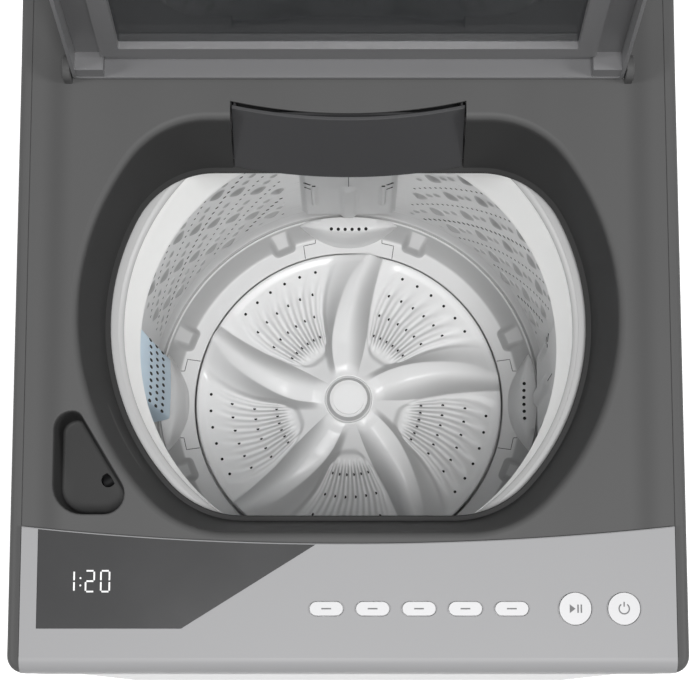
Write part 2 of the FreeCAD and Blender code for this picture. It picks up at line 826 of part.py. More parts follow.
def button_shape(kind, x, y, grow, z0, z1):
    """Round or long rounded button body."""
    if kind == "round":
        return rod(round_button_radius + grow, z0, z1, x, y)
    end = option_button_width / 2
    reach = option_button_length / 2 - end
    middle = block(x - reach, x + reach, y - end - grow, y + end + grow, z0, z1)
    return fused([middle, rod(end + grow, z0, z1, x - reach, y), rod(end + grow, z0, z1, x + reach, y)])


def button_hole(name, kind, x, y):
    """Hole in the fascia that guides a button."""
    return button_shape(kind, x, y, button_gap, fascia_top - 10, fascia_top + 5)


def button(name, kind, x, y):
    """Push button with a flange under the fascia and a stem above its switch."""
    under = fascia_top - fascia_wall - button_gap
    head = button_shape(kind, x, y, 0, under - button_flange, fascia_top + button_proud)
    flange = button_shape(kind, x, y, button_flange, under - button_flange, under)
    stem = rod(button_stem, board_top() + switch_height + button_travel + seat_gap, under, x, y)
    return fused([head, flange, stem])


def board_top():
    """Upper face of the button board."""
    return shelf_top + board_rise


def button_board():
    """Circuit board under the buttons, on three posts, with one tact switch for each button."""
    top = board_top()
    y = front_y + button_row
    left = option_button_first - board_end
    right = power_button_x + board_end
    plate = block(left, right, y - board_half_depth, y + board_half_depth, top - board_thick, top)
    pieces = [plate]
    for _, _, x, _ in button_places():
        pieces.append(block(x - switch_half, x + switch_half, y - switch_half, y + switch_half,
                            top - touch, top + switch_height))
    for x in (left + 2 * post_radius, (left + right) / 2, right - 2 * post_radius):
        pieces.append(rod(post_radius, shelf_top + seat_gap, top - board_thick + touch, x,
                          y + board_half_depth - post_radius - 1))
    return fused(pieces)


def control_box():
    """Sealed box of the main control board, on the shelf under the window."""
    y0, y1 = front_y + control_box_front, front_y + fascia_depth - control_box_rear
    box = block(window_left, window_right - control_box_end, y0, y1, shelf_top + seat_gap,
                shelf_top + control_box_height)
    return box.makeFillet(cover_wall, upright_edges(box))


def display_board():
    """Display board with its digit module and lamp strip under the glass."""
    y0, y1 = front_y + display_board_front, front_y + fascia_depth - display_board_rear
    low = shelf_top + control_box_height
    left, right = window_left + display_margin, window_right - display_board_end
    plate = block(left, right, y0, y1, low, low + board_thick)
    base, high = low + board_thick - touch, fascia_top - glass_thick - fascia_wall - display_gap
    start = left + 2 * display_margin
    digits = block(start, start + display_digits, y0 + 2 * display_margin, y1 - display_margin, base, high)
    lamps_y = (y0 + y1) / 2
    lamps = block(start + display_digits + display_margin, right - display_margin / 2,
                  lamps_y - display_margin / 2, lamps_y + display_margin / 2, base, high)
    return fused([plate, digits, lamps])


def display_window():
    """Dark glass set flush in the fascia."""
    return window_outline(-touch, fascia_top - glass_thick, fascia_top)


def lid_outline(inset, z):
    """Plan of the closed lid."""
    front = front_y + fascia_depth + lid_front_gap
    x = lid_half_width - inset
    corner = lid_corner - inset * 0.6
    rear_corner = max(6.0 - inset, 1.5)
    return rounded_outline([(-x, hinge_y + hinge_tail - inset, rear_corner),
                            (x, hinge_y + hinge_tail - inset, rear_corner),
                            (x, front + inset, corner), (-x, front + inset, corner)], z)


def slab(outline_function, inset, z0, z1):
    """Prism over an outline."""
    return Part.Face(outline_function(inset, z0)).extrude(Vector(0, 0, z1 - z0))


def opened(shape):
    """Turns a piece of the closed lid about the hinge to where the lid stands open."""
    copy = shape.copy()
    copy.rotate(Vector(0, hinge_y, hinge_z), Vector(1, 0, 0), -lid_open)
    return copy


def lid_frame():
    """Lid frame: shell with a border round the glass and a grip at the front edge."""
    low = deck_height + lid_under
    high = low + lid_thick
    outer = slab(lid_outline, 0, low, high)
    hollow = slab(lid_outline, lid_skin, low - 1, high - lid_skin)
    body = outer.cut(hollow)
    body = body.fuse(slab(lid_outline, lid_border - 8, high - 8 - lid_skin, high - 0.5))
    body = body.cut(slab(lid_outline, lid_border, high - glass_lid_thick - touch, high + 1))
    body = body.cut(slab(lid_outline, lid_border + 8, low - 1, high + 1))
    front = front_y + fascia_depth + lid_front_gap
    grip = Part.makeCylinder(60, 12, Vector(0, front - 48, low - 1))
    body = body.cut(grip.common(block(-60, 60, front - 1, front + lid_skin + 0.5, low - 1, low + 9)))
    rib_y = hinge_y - 4
    knuckles = [block(side * (lid_half_width - 14) - 13, side * (lid_half_width - 14) + 13,
                      rib_y - 8, hinge_y + hinge_tail - 1, low + 0.6, high - 1) for side in (-1, 1)]
    body = body.fuse(knuckles)
    for side in (-1, 1):
        body = body.cut(lid_pin(side))
    return opened(body.removeSplitter())


def lid_pin(side):
    """Hinge pin that stands out of the lid's side into the deck's lug."""
    start = lid_half_width + 1 + lug_thick - 0.5
    return Part.makeCylinder(pin_radius, pin_length, Vector(side * start, hinge_y, hinge_z),
                             Vector(-side, 0, 0))


def lid_pins():
    """Both hinge pins."""
    return opened(Part.makeCompound([lid_pin(-1), lid_pin(1)]))


def lid_glass():
    """Tinted glass pane set in the lid frame."""
    high = deck_height + lid_under + lid_thick
    return opened(slab(lid_outline, lid_border + touch, high - glass_lid_thick, high))


def lid_bumpers():
    """Rubber stops under the lid's front corners."""
    low = deck_height + lid_under
    front = front_y + fascia_depth + lid_front_gap
    bumpers = []
    for side in (-1, 1):
        x = side * (lid_half_width - lid_corner / 2 - 2)
        y = front + lid_corner / 2 + 2
        bumpers.append(rod(bumper_radius, low - lid_under + 0.4, low + lid_thick - lid_skin, x, y))
    return opened(Part.makeCompound(bumpers))


def drawer_front():
    """Slanted, slightly bowed front of the detergent drawer."""
    foot_z = drawer_floor - drawer_front_drop
    head_z = deck_height - drawer_front_head
    profile = [(drawer_front_y(foot_z), foot_z),
               (drawer_front_y(foot_z) + drawer_front_thick, foot_z),
               (drawer_front_y(head_z) + drawer_front_thick, head_z), (drawer_front_y(head_z), head_z)]
    corners = [Vector(0, y, z) for y, z in profile]
    face = Part.Face(Part.makePolygon(corners + corners[:1]))
    face.rotate(Vector(0, drawer_front_axis, 0), Vector(0, 0, 1), -15)
    sector = face.revolve(Vector(0, drawer_front_axis, 0), Vector(0, 0, 1), 30)
    return sector.common(block(-drawer_half_width, drawer_half_width, 0, rear_y, foot_z - 1, head_z + 1))


def drawer_tray_start(z):
    """Y where the tray's slanted front wall begins, behind the bowed front piece."""
    return drawer_back_y(z) + seat_gap


def tray_profile(inset, low, high):
    """Side profile of the tray, extruded across its width."""
    x = drawer_half_width - 1 - inset
    rear = drawer_tray_start(drawer_floor) + drawer_length - inset
    corners = [Vector(-x, drawer_tray_start(low) + inset, low), Vector(-x, rear, low),
               Vector(-x, rear, high), Vector(-x, drawer_tray_start(high) + inset, high)]
    face = Part.Face(Part.makePolygon(corners + corners[:1]))
    return face.extrude(Vector(2 * x, 0, 0))


def detergent_drawer():
    """Tray with a detergent compartment and a softener compartment, with tabs to its front."""
    top = drawer_floor + drawer_height
    body = tray_profile(0, drawer_floor, top)
    inside = tray_profile(drawer_wall, drawer_floor + drawer_wall, top + 1)
    rib = block(drawer_divider, drawer_divider + drawer_wall, 0, rear_y, drawer_floor, top - 4)
    inside = inside.cut(rib)
    body = body.cut(inside)
    tabs = []
    for x in (tab_inset - drawer_half_width, drawer_half_width - tab_inset):
        bow = drawer_front_bow - math.sqrt(drawer_front_bow ** 2 - x ** 2)
        start = drawer_front_y(drawer_floor + tab_height) + drawer_front_thick + bow + 3 * seat_gap
        tabs.append(block(x - tab_half, x + tab_half, start, start + tab_length,
                          drawer_floor + tab_height - drawer_front_thick, drawer_floor + tab_height))
    body = body.fuse(tabs).cut(drawer_front())
    siphon = rod(siphon_radius, drawer_floor, drawer_floor + siphon_height, siphon_x(), siphon_y())
    body = body.fuse(siphon)
    body = body.cut(rod(siphon_bore, drawer_floor - 1, drawer_floor + siphon_height + 1, siphon_x(),
                        siphon_y()))
    return body.removeSplitter()


def siphon_x():
    """Place of the softener siphon across the drawer."""
    return (drawer_divider + drawer_half_width) / 2


def siphon_y():
    """Place of the softener siphon along the drawer."""
    return drawer_tray_start(drawer_floor) + drawer_length - siphon_inset


def softener_cap():
    """Clip-in cap over the softener siphon and its compartment's rear half."""
    top = drawer_floor + drawer_height
    under = top - cap_drop
    x0 = drawer_divider + drawer_wall + seat_gap
    x1 = drawer_half_width - 1 - drawer_wall - seat_gap
    y1 = drawer_tray_start(drawer_floor) + drawer_length - drawer_wall - seat_gap
    y0 = y1 - cap_length
    lid = block(x0, x1, y0, y1, under, under + drawer_wall)
    inner = siphon_radius + cap_clearance
    sleeve = pipe(inner + drawer_wall, inner, drawer_floor + 3 * drawer_wall, under + 1, siphon_x(),
                  siphon_y())
    skirt = block(x0, x1, y0, y0 + drawer_wall, drawer_floor + drawer_wall + seat_gap, under + 1)
    return fused([lid, sleeve, skirt])


def dispenser_housing():
    """Box under the rear deck that the drawer slides in, with an outlet and an inlet spigot."""
    inner_x = drawer_half_width + drawer_gap
    outer_x = inner_x + housing_wall
    low = drawer_floor - drawer_gap - housing_wall
    high = deck_height - deck_plate - seat_gap
    start = drawer_back_y(deck_height) + 1
    end = housing_end()
    body = block(-outer_x, outer_x, start, end, low, high)
    floor_start = drawer_back_y(drawer_floor) + 1
    body = body.fuse(block(-outer_x, outer_x, floor_start, end, low, low + housing_wall))
    body = body.cut(block(-inner_x, inner_x, start - 1, end - housing_wall, low + housing_wall,
                          high - housing_wall))
    outlet = block(-inner_x + 8, inner_x - 8, floor_start + 6, floor_start + 20, low - 1,
                   low + housing_wall + 1)
    body = body.cut(outlet)
    spigot_radius = hose_radius - hose_wall - touch
    spigot = Part.makeCylinder(spigot_radius, hose_seat, Vector(outer_x - 1, valve_line(), inlet_z),
                               Vector(1, 0, 0))
    bore = Part.makeCylinder(spigot_radius - hose_wall, 2 * hose_seat,
                             Vector(outer_x - hose_seat, valve_line(), inlet_z), Vector(1, 0, 0))
    return body.fuse(spigot).cut(bore).removeSplitter()


def housing_end():
    """Y of the dispenser housing's rear face."""
    return drawer_tray_start(drawer_floor) + drawer_length + 2 * housing_wall


def valve_line():
    """Y of the inlet valve's outlet, in line with the dispenser's spigot."""
    return housing_end() - spigot_inset


def inlet_valve():
    """Solenoid water valve; its threaded inlet stands in the bay of the cover's rear skirt."""
    y = valve_line()
    back = Vector(0, 1, 0)
    start = rear_y - inlet_tip - inlet_length
    seat = inlet_bay_y - inlet_bay_wall - seat_gap - inlet_flange_thick
    barrel = Part.makeCylinder(inlet_radius, inlet_length + 1, Vector(inlet_x, start - 1, inlet_z), back)
    shoulder_length = start - seat
    shoulder_piece = Part.makeCylinder(inlet_radius + inlet_shoulder, shoulder_length,
                                       Vector(inlet_x, seat, inlet_z), back)
    flange = Part.makeCylinder(inlet_radius + inlet_flange, inlet_flange_thick,
                               Vector(inlet_x, seat, inlet_z), back)
    body = block(inlet_x - valve_body_half, inlet_x + valve_body_half, y - valve_body_rise, seat + 1,
                 inlet_z - valve_body_rise, inlet_z + valve_body_rise)
    coil = block(inlet_x - valve_coil_half, inlet_x + valve_coil_half,
                 y - valve_body_rise - valve_coil_length, y - valve_body_rise + 1,
                 inlet_z - valve_body_rise - inlet_flange, inlet_z + valve_body_rise + 2)
    spigot = Part.makeCylinder(hose_radius - hose_wall - touch, valve_body_half + hose_seat,
                               Vector(inlet_x, y, inlet_z), Vector(-1, 0, 0))
    bore = Part.makeCylinder(inlet_radius - valve_wall, inlet_length, Vector(inlet_x, start, inlet_z), back)
    return fused([barrel, shoulder_piece, flange, body, coil, spigot]).cut(bore)


def inlet_hose():
    """Short rubber hose from the valve to the dispenser housing."""
    start = drawer_half_width + drawer_gap + housing_wall + seat_gap
    end = inlet_x - valve_body_half - seat_gap
    y = valve_line()
    outer = Part.makeCylinder(hose_radius, end - start, Vector(start, y, inlet_z), Vector(1, 0, 0))
    inner = Part.makeCylinder(hose_radius - hose_wall, end - start + 2, Vector(start - 1, y, inlet_z),
                              Vector(1, 0, 0))
    return outer.cut(inner)


def bleach_spout():
    """Mitred spout under the bleach cup that leads to the gap between the tub and the drum."""
    top = deck_height - cup_depth - cup_wall - seat_gap
    length = math.hypot(cup_drain_x, cup_drain_y)
    bend = Vector(cup_drain_x, cup_drain_y, top - spout_drop)
    slope = Vector(-cup_drain_x / length, -cup_drain_y / length, -spout_fall)
    slope.normalize()
    across = Vector(0, 0, -1) + slope
    turn = Rotation(Vector(0, 0, 1), across)
    reach = 4 * spout_reach

    def elbow(radius, extra):
        before = Part.makeCylinder(radius, spout_drop + radius * 2 + extra,
                                   Vector(cup_drain_x, cup_drain_y, bend.z - radius * 2))
        after = Part.makeCylinder(radius, spout_reach + radius * 2 + extra, bend - slope * radius * 2, slope)
        near = Part.makeBox(reach, reach, reach, Vector(-reach / 2, -reach / 2, -reach))
        far = Part.makeBox(reach, reach, reach, Vector(-reach / 2, -reach / 2, 0))
        near.Placement = Placement(bend, turn)
        far.Placement = Placement(bend, turn)
        near = near.common(before)
        return near.fuse(far.common(after))

    return elbow(cup_drain_radius + spout_wall, 0).cut(elbow(cup_drain_radius, 5)).removeSplitter()


def lid_lock():
    """Lid switch and lock under the deck's right side."""
    high = deck_height - deck_plate - seat_gap
    x0 = opening_radius + collar_flare + collar_wall + lock_gap
    body = block(x0, x0 + lock_width, lock_front, lock_front + lock_length, high - lock_height, high)
    slot_x = x0 + (lock_width - lock_slot_width) / 2
    slot_y = lock_front + lock_slot_start
    slot = block(slot_x, slot_x + lock_slot_width, slot_y, slot_y + lock_slot_length,
                 high - lock_slot_depth, high + 1)
    return body.cut(slot)


def pressure_sensor():
    """Round water level sensor under the rear deck."""
    high = deck_height - deck_plate - seat_gap
    y = rear_y - sensor_inset
    low = high - sensor_height
    return fused([rod(sensor_radius, low, high, sensor_x, y),
                  rod(sensor_nipple, low - sensor_height, low + 1, sensor_x, y)])


def cord_gland():
    """Strain relief of the mains cord in the rear panel."""
    nut_y = panel_y - gland_nut - seat_gap
    start = Vector(gland_x, nut_y - gland_nut, gland_z)
    barrel = Part.makeCylinder(gland_radius, gland_length, start, Vector(0, 1, 0))
    flange = Part.makeCylinder(gland_radius + gland_nut, gland_nut,
                               Vector(gland_x, panel_y + sheet + seat_gap, gland_z), Vector(0, 1, 0))
    nut = Part.makeCylinder(gland_radius + gland_nut, gland_nut, Vector(gland_x, nut_y, gland_z),
                            Vector(0, 1, 0))
    bore = Part.makeCylinder(gland_bore, 2 * gland_length, start - Vector(0, 1, 0), Vector(0, 1, 0))
    return fused([barrel, flange, nut]).cut(bore)


def rod_places():
    """Centres of the four suspension rods."""
    reach = tub_inner_radius - rod_inset
    return [(sx * reach, sy * reach) for sx in (-1, 1) for sy in (-1, 1)]


def corner_brackets():
    """Four steel brackets across the cabinet's upper corners, each with a hole for its rod."""
    x = wrap_x - sheet - seat_gap
    brackets = []
    for rod_x, rod_y in rod_places():
        sx, sy = math.copysign(1, rod_x), math.copysign(1, rod_y)
        y = (panel_y - sheet - seat_gap) if sy > 0 else (wrap_front + sheet + seat_gap)
        corner = wrap_corner if sy < 0 else seat_gap
        leg = x + abs(y) - abs(rod_x) - abs(rod_y) + bracket_margin * math.sqrt(2)
        plate = prism([(sx * x, y - sy * leg), (sx * x, y - sy * corner),
                       (sx * (x - corner), y), (sx * (x - leg), y)],
                      bracket_height, bracket_height + bracket_thick)
        sides = sorted([sx * x, sx * (x - bracket_thick)])
        ends = sorted([y - sy * bracket_lip_inset, y - sy * (leg - bracket_lip_inset)])
        lip = block(sides[0], sides[1], ends[0], ends[1], bracket_height - bracket_lip,
                    bracket_height + 1)
        bracket = plate.fuse(lip)
        bracket = bracket.cut(rod(rod_radius + bracket_bore_gap, bracket_height - bracket_thick,
                                  bracket_height + 2 * bracket_thick, rod_x, rod_y))
        brackets.append(bracket.removeSplitter())
    return Part.makeCompound(brackets)


def suspension_rods():
    """Four hanging rods, each with a head on its bracket and a cup at its foot."""
    rods = []
    for x, y in rod_places():
        shaft = rod(rod_radius, rod_foot_height, rod_top, x, y)
        head = Part.makeCone(rod_head_radius - bracket_thick, rod_head_radius, rod_head_height,
                             Vector(x, y, bracket_height + bracket_thick + seat_gap))
        cup = rod(cup_radius, rod_foot_height, rod_foot_height + rod_foot_thick, x, y)
        rods.append(fused([shaft, head, cup]))
    return Part.makeCompound(rods)


def suspension_springs():
    """Four coil springs between the rods' cups and the tub's lugs."""
    low = rod_foot_height + rod_foot_thick + spring_wire + seat_gap
    high = tub_lug_height - spring_wire - seat_gap
    pitch = (high - low) / spring_turns
    springs = []
    for x, y in rod_places():
        path = Part.makeHelix(pitch, high - low, spring_radius)
        circle = Part.Wire([Part.makeCircle(spring_wire, Vector(spring_radius, 0, 0), Vector(0, 1, 0))])
        coil = Part.Wire(path).makePipeShell([circle], True, True)
        coil.translate(Vector(x, y, low))
        springs.append(coil)
    return Part.makeCompound(springs)


def outer_tub():
    """Plastic water tub: wall, floor with a shaft hole, four lugs and bosses for the drive plate."""
    outer = tub_inner_radius + tub_wall
    floor_low = tub_floor_height - tub_wall
    body = turned([(gearbox_radius + touch, floor_low), (outer, floor_low), (outer, tub_rim),
                   (tub_inner_radius, tub_rim), (tub_inner_radius, tub_floor_height),
                   (gearbox_radius + touch, tub_floor_height)])
    extras = []
    for x, y in rod_places():
        angle = math.degrees(math.atan2(y, x))
        reach = math.hypot(x, y)
        lug = block(tub_inner_radius + 1, reach + tub_lug_reach, -tub_lug_half, tub_lug_half,
                    tub_lug_height, tub_lug_height + tub_lug_thick)
        rib = block(tub_inner_radius + 1, tub_inner_radius + tub_lug_rib, -tub_wall, tub_wall,
                    tub_lug_height - 2 * tub_lug_rib, tub_lug_height + tub_lug_thick + tub_lug_rib)
        lug = lug.fuse(rib)
        lug = lug.cut(rod(rod_radius + tub_lug_play, tub_lug_height - 1,
                          tub_lug_height + tub_lug_thick + 1, reach, 0))
        extras.append(spun(lug, angle))
    for x, y in plate_bolts():
        extras.append(rod(tub_boss_radius, drive_plate_top + seat_gap, tub_floor_height - 1, x, y))
    for i in range(tub_rib_count):
        rib = block(outer - 1, outer + tub_rib_reach, -tub_rib_half, tub_rib_half, floor_low,
                    floor_low + tub_rib_height)
        extras.append(spun(rib, 360.0 * (i + 0.5) / tub_rib_count))
    body = body.fuse(extras)
    holes = [rod(outlet_radius - outlet_wall, floor_low - 5, tub_floor_height + 1, valve_x, valve_y)]
    return cut_all(body, holes).removeSplitter()


def plate_bolts():
    """Places where the drive plate is bolted to the tub's floor."""
    half = drive_plate_width / 2 - tub_boss_edge
    return [(x, y) for x in (-tub_boss_x, tub_boss_x) for y in (-half, half)]


def tub_cover_ring():
    """Ring that closes the top of the tub, with a rounded inner nose and a bleach inlet."""
    outer = tub_inner_radius + tub_wall + tub_cover_lap
    bore = tub_inner_radius + tub_wall + seat_gap
    top = tub_cover_top
    low = tub_rim - tub_cover_skirt
    under = top - tub_cover_thick
    ring = turned([(tub_cover_inner, under), (tub_cover_inner, top - tub_cover_nose),
                   (tub_cover_inner + tub_cover_nose, top), (outer, top), (outer, low), (bore, low),
                   (bore, tub_rim + seat_gap), (ring_outer + 2 * tub_cover_lap, tub_rim + seat_gap),
                   (ring_outer + tub_cover_lap, under)])
    length = math.hypot(cup_drain_x, cup_drain_y)
    at = (length - spout_reach) / length
    return ring.cut(rod(tub_cover_hole, top - tub_cover_skirt, top + 1, cup_drain_x * at, cup_drain_y * at))


def drive_plate():
    """Steel plate under the tub that carries the gearbox and the motor."""
    half = drive_plate_width / 2
    low = drive_plate_top - drive_plate_thick
    reach = motor_offset - motor_radius - 8
    plate = block(reach, 118, -half, half, low, drive_plate_top)
    plate = plate.makeFillet(20, upright_edges(plate))
    holes = [rod(gearbox_radius - 14, low - 1, drive_plate_top + 1),
             rod(motor_shaft_radius + 8, low - 1, drive_plate_top + 1, motor_offset, 0)]
    return cut_all(plate, holes)


def gearbox_housing():
    """Clutch and reduction gearbox: a flanged drum with bearing seats at both ends."""
    low = gearbox_bottom
    top = tub_floor_height + 6
    body = turned([(0, low), (gearbox_radius - 8, low), (gearbox_radius - 8, low + gearbox_height - 6),
                   (gearbox_radius - 15, low + gearbox_height), (gearbox_radius - 15, drive_plate_top + 1),
                   (gearbox_radius, drive_plate_top + 1), (gearbox_radius, tub_floor_height - 1),
                   (bearing_radius + 6, top), (0, top)])
    cavities = [rod(bearing_radius + touch, top - bearing_height, top + 1),
                rod(bearing_radius + touch, low + 34, low + 34 + bearing_height),
                rod(spin_shaft_radius + 1.5, low + 20, top),
                rod(drive_shaft_radius + running_gap, low - 1, low + 21)]
    return cut_all(body, cavities)


def spin_bearings():
    """Two ball bearings that carry the spin shaft, each drawn as one ring."""
    top = tub_floor_height + 6
    inner = spin_shaft_radius + running_gap
    return Part.makeCompound([
        pipe(bearing_radius, inner, top - bearing_height, top),
        pipe(bearing_radius, inner, gearbox_bottom + 34, gearbox_bottom + 34 + bearing_height)])


def motor():
    """Induction motor hung from the drive plate, with its end bells and a flange."""
    top = drive_plate_top - drive_plate_thick - seat_gap
    low = top - motor_height
    body = turned([(0, low), (motor_radius - 16, low), (motor_radius - 6, low + 12),
                   (motor_radius - 6, low + 22), (motor_radius, low + 22), (motor_radius, top - 22),
                   (motor_radius - 6, top - 22), (motor_radius - 6, top - 12), (motor_radius - 18, top - 8),
                   (motor_radius - 18, top), (0, top)])
    body.translate(Vector(motor_offset, 0, 0))
    return body.cut(rod(motor_shaft_radius + running_gap, low - 1, low + 40, motor_offset, 0))


def pulley(radius, hub_bore, hub_radius_out, hub_length, x):
    """Grooved belt pulley with a rim, a web and a hub."""
    half = pulley_thick / 2
    groove = belt_thick + 1
    z = pulley_level
    shape = turned([(hub_bore, z - half), (hub_radius_out, z - half), (hub_radius_out, z - 3),
                    (radius - 9, z - 3), (radius - 9, z - half), (radius, z - half),
                    (radius, z - belt_width / 2 - 0.5), (radius - groove, z - belt_width / 2 - 0.5),
                    (radius - groove, z + belt_width / 2 + 0.5), (radius, z + belt_width / 2 + 0.5),
                    (radius, z + half), (radius - 9, z + half), (radius - 9, z + 3),
                    (hub_radius_out, z + 3), (hub_radius_out, z + half + hub_length),
                    (hub_bore, z + half + hub_length)])
    shape.translate(Vector(x, 0, 0))
    return shape


def motor_pulley():
    """Small pulley with the motor's shaft."""
    wheel = pulley(motor_pulley_radius, 0, 13, 6, motor_offset)
    top = drive_plate_top - drive_plate_thick - seat_gap - motor_height + 38
    return fused([wheel, rod(motor_shaft_radius, pulley_level, top, motor_offset, 0)])


def drive_pulley():
    """Large pulley with the gearbox's input shaft."""
    wheel = pulley(drive_pulley_radius, 0, 22, gearbox_bottom - pulley_level - pulley_thick / 2 - 2, 0)
    return fused([wheel, rod(drive_shaft_radius, pulley_level, gearbox_bottom + 18)])


def drive_belt():
    """V belt drawn at rest round both pulleys: two arcs and two tangent runs."""
    def loop(offset, z0, z1):
        big = drive_pulley_radius - belt_thick - 1 + offset
        small = motor_pulley_radius - belt_thick - 1 + offset
        span = -motor_offset
        tilt = math.asin((big - small) / span)
        bx, by = -big * math.sin(tilt), big * math.cos(tilt)
        sx, sy = motor_offset - small * math.sin(tilt), small * math.cos(tilt)
        top_run = Part.makeLine(Vector(bx, by, z0), Vector(sx, sy, z0))
        tip = Vector(motor_offset - small, 0, z0)
        far = Part.Arc(Vector(sx, sy, z0), tip, Vector(sx, -sy, z0)).toShape()
        low_run = Part.makeLine(Vector(sx, -sy, z0), Vector(bx, -by, z0))
        near = Part.Arc(Vector(bx, -by, z0), Vector(big, 0, z0), Vector(bx, by, z0)).toShape()
        return Part.Face(Part.Wire([top_run, far, low_run, near])).extrude(Vector(0, 0, z1 - z0))
    z0 = pulley_level - belt_width / 2
    z1 = pulley_level + belt_width / 2
    return loop(seat_gap + belt_thick, z0, z1).cut(loop(seat_gap, z0 - 1, z1 + 1))


def drain_valve():
    """Drain valve body under the tub's floor with its outlet spigot pointing down."""
    top = tub_floor_height - tub_wall - seat_gap
    low = top - valve_height
    body = rod(valve_radius, low, top, valve_x, valve_y)
    start = valve_x + valve_radius - valve_wall
    actuator = block(start, start + valve_motor_length, valve_y - valve_motor_half,
                     valve_y + valve_motor_half, low + 2 * valve_wall, top - 3 * valve_wall)
    spigot = rod(outlet_radius, low - valve_spigot, low + 1, valve_x, valve_y)
    inner = [rod(valve_radius - valve_wall, low + valve_wall, top - 2 * valve_wall, valve_x, valve_y),
             rod(outlet_radius - outlet_wall, low - valve_spigot - 1, top + 1, valve_x, valve_y)]
    return cut_all(fused([body, actuator, spigot]), inner)


def drain_bellows():
    """Folded rubber sleeve between the valve on the moving tub and the fixed outlet."""
    top = tub_floor_height - tub_wall - seat_gap - valve_height - valve_spigot - seat_gap
    low = outlet_height + outlet_radius + outlet_rise + seat_gap
    step = (top - low) / (2 * bellows_folds)
    inner = outlet_radius - outlet_wall
    wall = outlet_wall
    outline = [(inner + (bellows_fold if i % 2 else 0), low + step * i)
               for i in range(2 * bellows_folds + 1)]
    outside = [(r + wall, z) for r, z in reversed(outline)]
    sleeve = turned(outline + outside)
    sleeve.translate(Vector(valve_x, valve_y, 0))
    return sleeve


def drain_outlet():
    """Fixed elbow from the bellows to the spigot in the rear panel's bay."""
    top = outlet_height + outlet_radius + outlet_rise
    back = Vector(0, 1, 0)
    corner = Vector(valve_x, valve_y, outlet_height)
    start = outlet_bay_y + 2 * sheet
    end = start + outlet_length
    body_radius = outlet_radius + outlet_shoulder
    outer = [rod(outlet_radius, outlet_height, top, valve_x, valve_y),
             Part.makeSphere(body_radius, corner),
             Part.makeCylinder(body_radius, start - valve_y, corner, back),
             Part.makeCylinder(outlet_radius, end - start + 1,
                               Vector(valve_x, start - 1, outlet_height), back),
             Part.makeCylinder(outlet_radius + outlet_collar, outlet_collar_thick,
                               Vector(valve_x, outlet_bay_y - seat_gap - outlet_collar_thick, outlet_height),
                               back)]
    inner_radius = outlet_radius - outlet_wall
    inner = [rod(inner_radius, outlet_height, top + 1, valve_x, valve_y),
             Part.makeSphere(inner_radius, corner),
             Part.makeCylinder(inner_radius, end - valve_y + 1, corner, back)]
    return fused(outer).cut(fused(inner))


def balance_ring():
    """Brine filled ring on top of the drum, its inner wall leaning in towards the bottom."""
    return turned([(ring_inner_bottom, ring_bottom + 3), (ring_inner_bottom + 3, ring_bottom),
                   (ring_outer, ring_bottom), (ring_outer, ring_top - 4), (ring_outer - 4, ring_top),
                   (ring_inner_top + 4, ring_top), (ring_inner_top, ring_top - 4)])


def drum_wall():
    """Steel drum wall between the base and the balance ring."""
    low = flange_top + seat_gap
    return pipe(drum_radius + drum_sheet, drum_radius, low, ring_bottom - seat_gap)


def drum_base_raw():
    """Moulded drum bottom: well for the pulsator, flat ring, slope, rim and skirt."""
    inner = spin_shaft_radius + 20
    outer = drum_radius - touch
    return turned([
        (inner, well_floor - base_shell), (outer, well_floor - base_shell), (outer, base_rim + 10),
        (outer - 1.5, base_rim + 7), (outer - 4, base_rim + 3), (base_slope_outer + 3, base_rim),
        (base_slope_outer, base_rim), (base_slope_inner, base_flat), (well_radius + 1, base_flat),
        (well_radius, base_flat - 1), (well_radius, well_floor), (inner, well_floor)])


def drum_base():
    """Drum bottom with trapezoid bosses across its slope."""
    base = drum_base_raw()
    bosses = []
    for quarter in range(4):
        for turn in (-22.5, 22.5):
            half = boss_width / 2
            boss = prism([(base_slope_inner - 8, -half + 5), (base_slope_inner - 8, half - 5),
                          (base_slope_outer + 1, half), (base_slope_outer + 1, -half)],
                         base_flat - 1, base_rim)
            bosses.append(spun(boss, 90 * quarter + turn))
    relief = []
    for i in range(24):
        pocket = block(well_radius + 8, drum_radius - 8, -11, 11, well_floor - base_shell - 1, base_flat - 5)
        relief.append(spun(pocket, 15 * i + 7.5))
    base = base.cut(Part.makeCompound(relief))
    return base.fuse(bosses).removeSplitter()


def base_covers(base):
    """Four fan shaped clip covers over the water channels' feet."""
    low, high = base_flat - 1, base_flat + base_cover_height
    profile = [(well_radius + 2, low), (well_radius + 2, base_flat + 2), (base_slope_inner + 1, high),
               (base_slope_outer, high), (base_slope_outer, low)]
    covers = []
    for quarter in range(4):
        fan = turned(profile, 2 * base_cover_turn, 90 * quarter - base_cover_turn)
        covers.append(fan.cut(base))
    return Part.makeCompound(covers)


def channel_covers():
    """Covers of the upright water channels at the rear, the right and the front."""
    outer = drum_radius - touch
    low = channel_foot
    covers = []
    for turn in (0, 90, -90):
        inner_face = outer - channel_depth
        wide = block(inner_face, outer + 5, -channel_half_width, channel_half_width, low,
                     low + channel_height)
        wide = wide.common(rod(outer, low - 1, low + channel_height + 1))
        hollow = block(inner_face + channel_wall, outer + 5, -channel_half_width + channel_wall,
                       channel_half_width - channel_wall, low + channel_wall, low + channel_height + 1)
        rib = block(inner_face - 3, inner_face + 1, -5, 5, low, low + channel_height * 0.42)
        shell = wide.cut(hollow).fuse(rib).removeSplitter()
        covers.append(spun(shell, turn))
    return Part.makeCompound(covers)


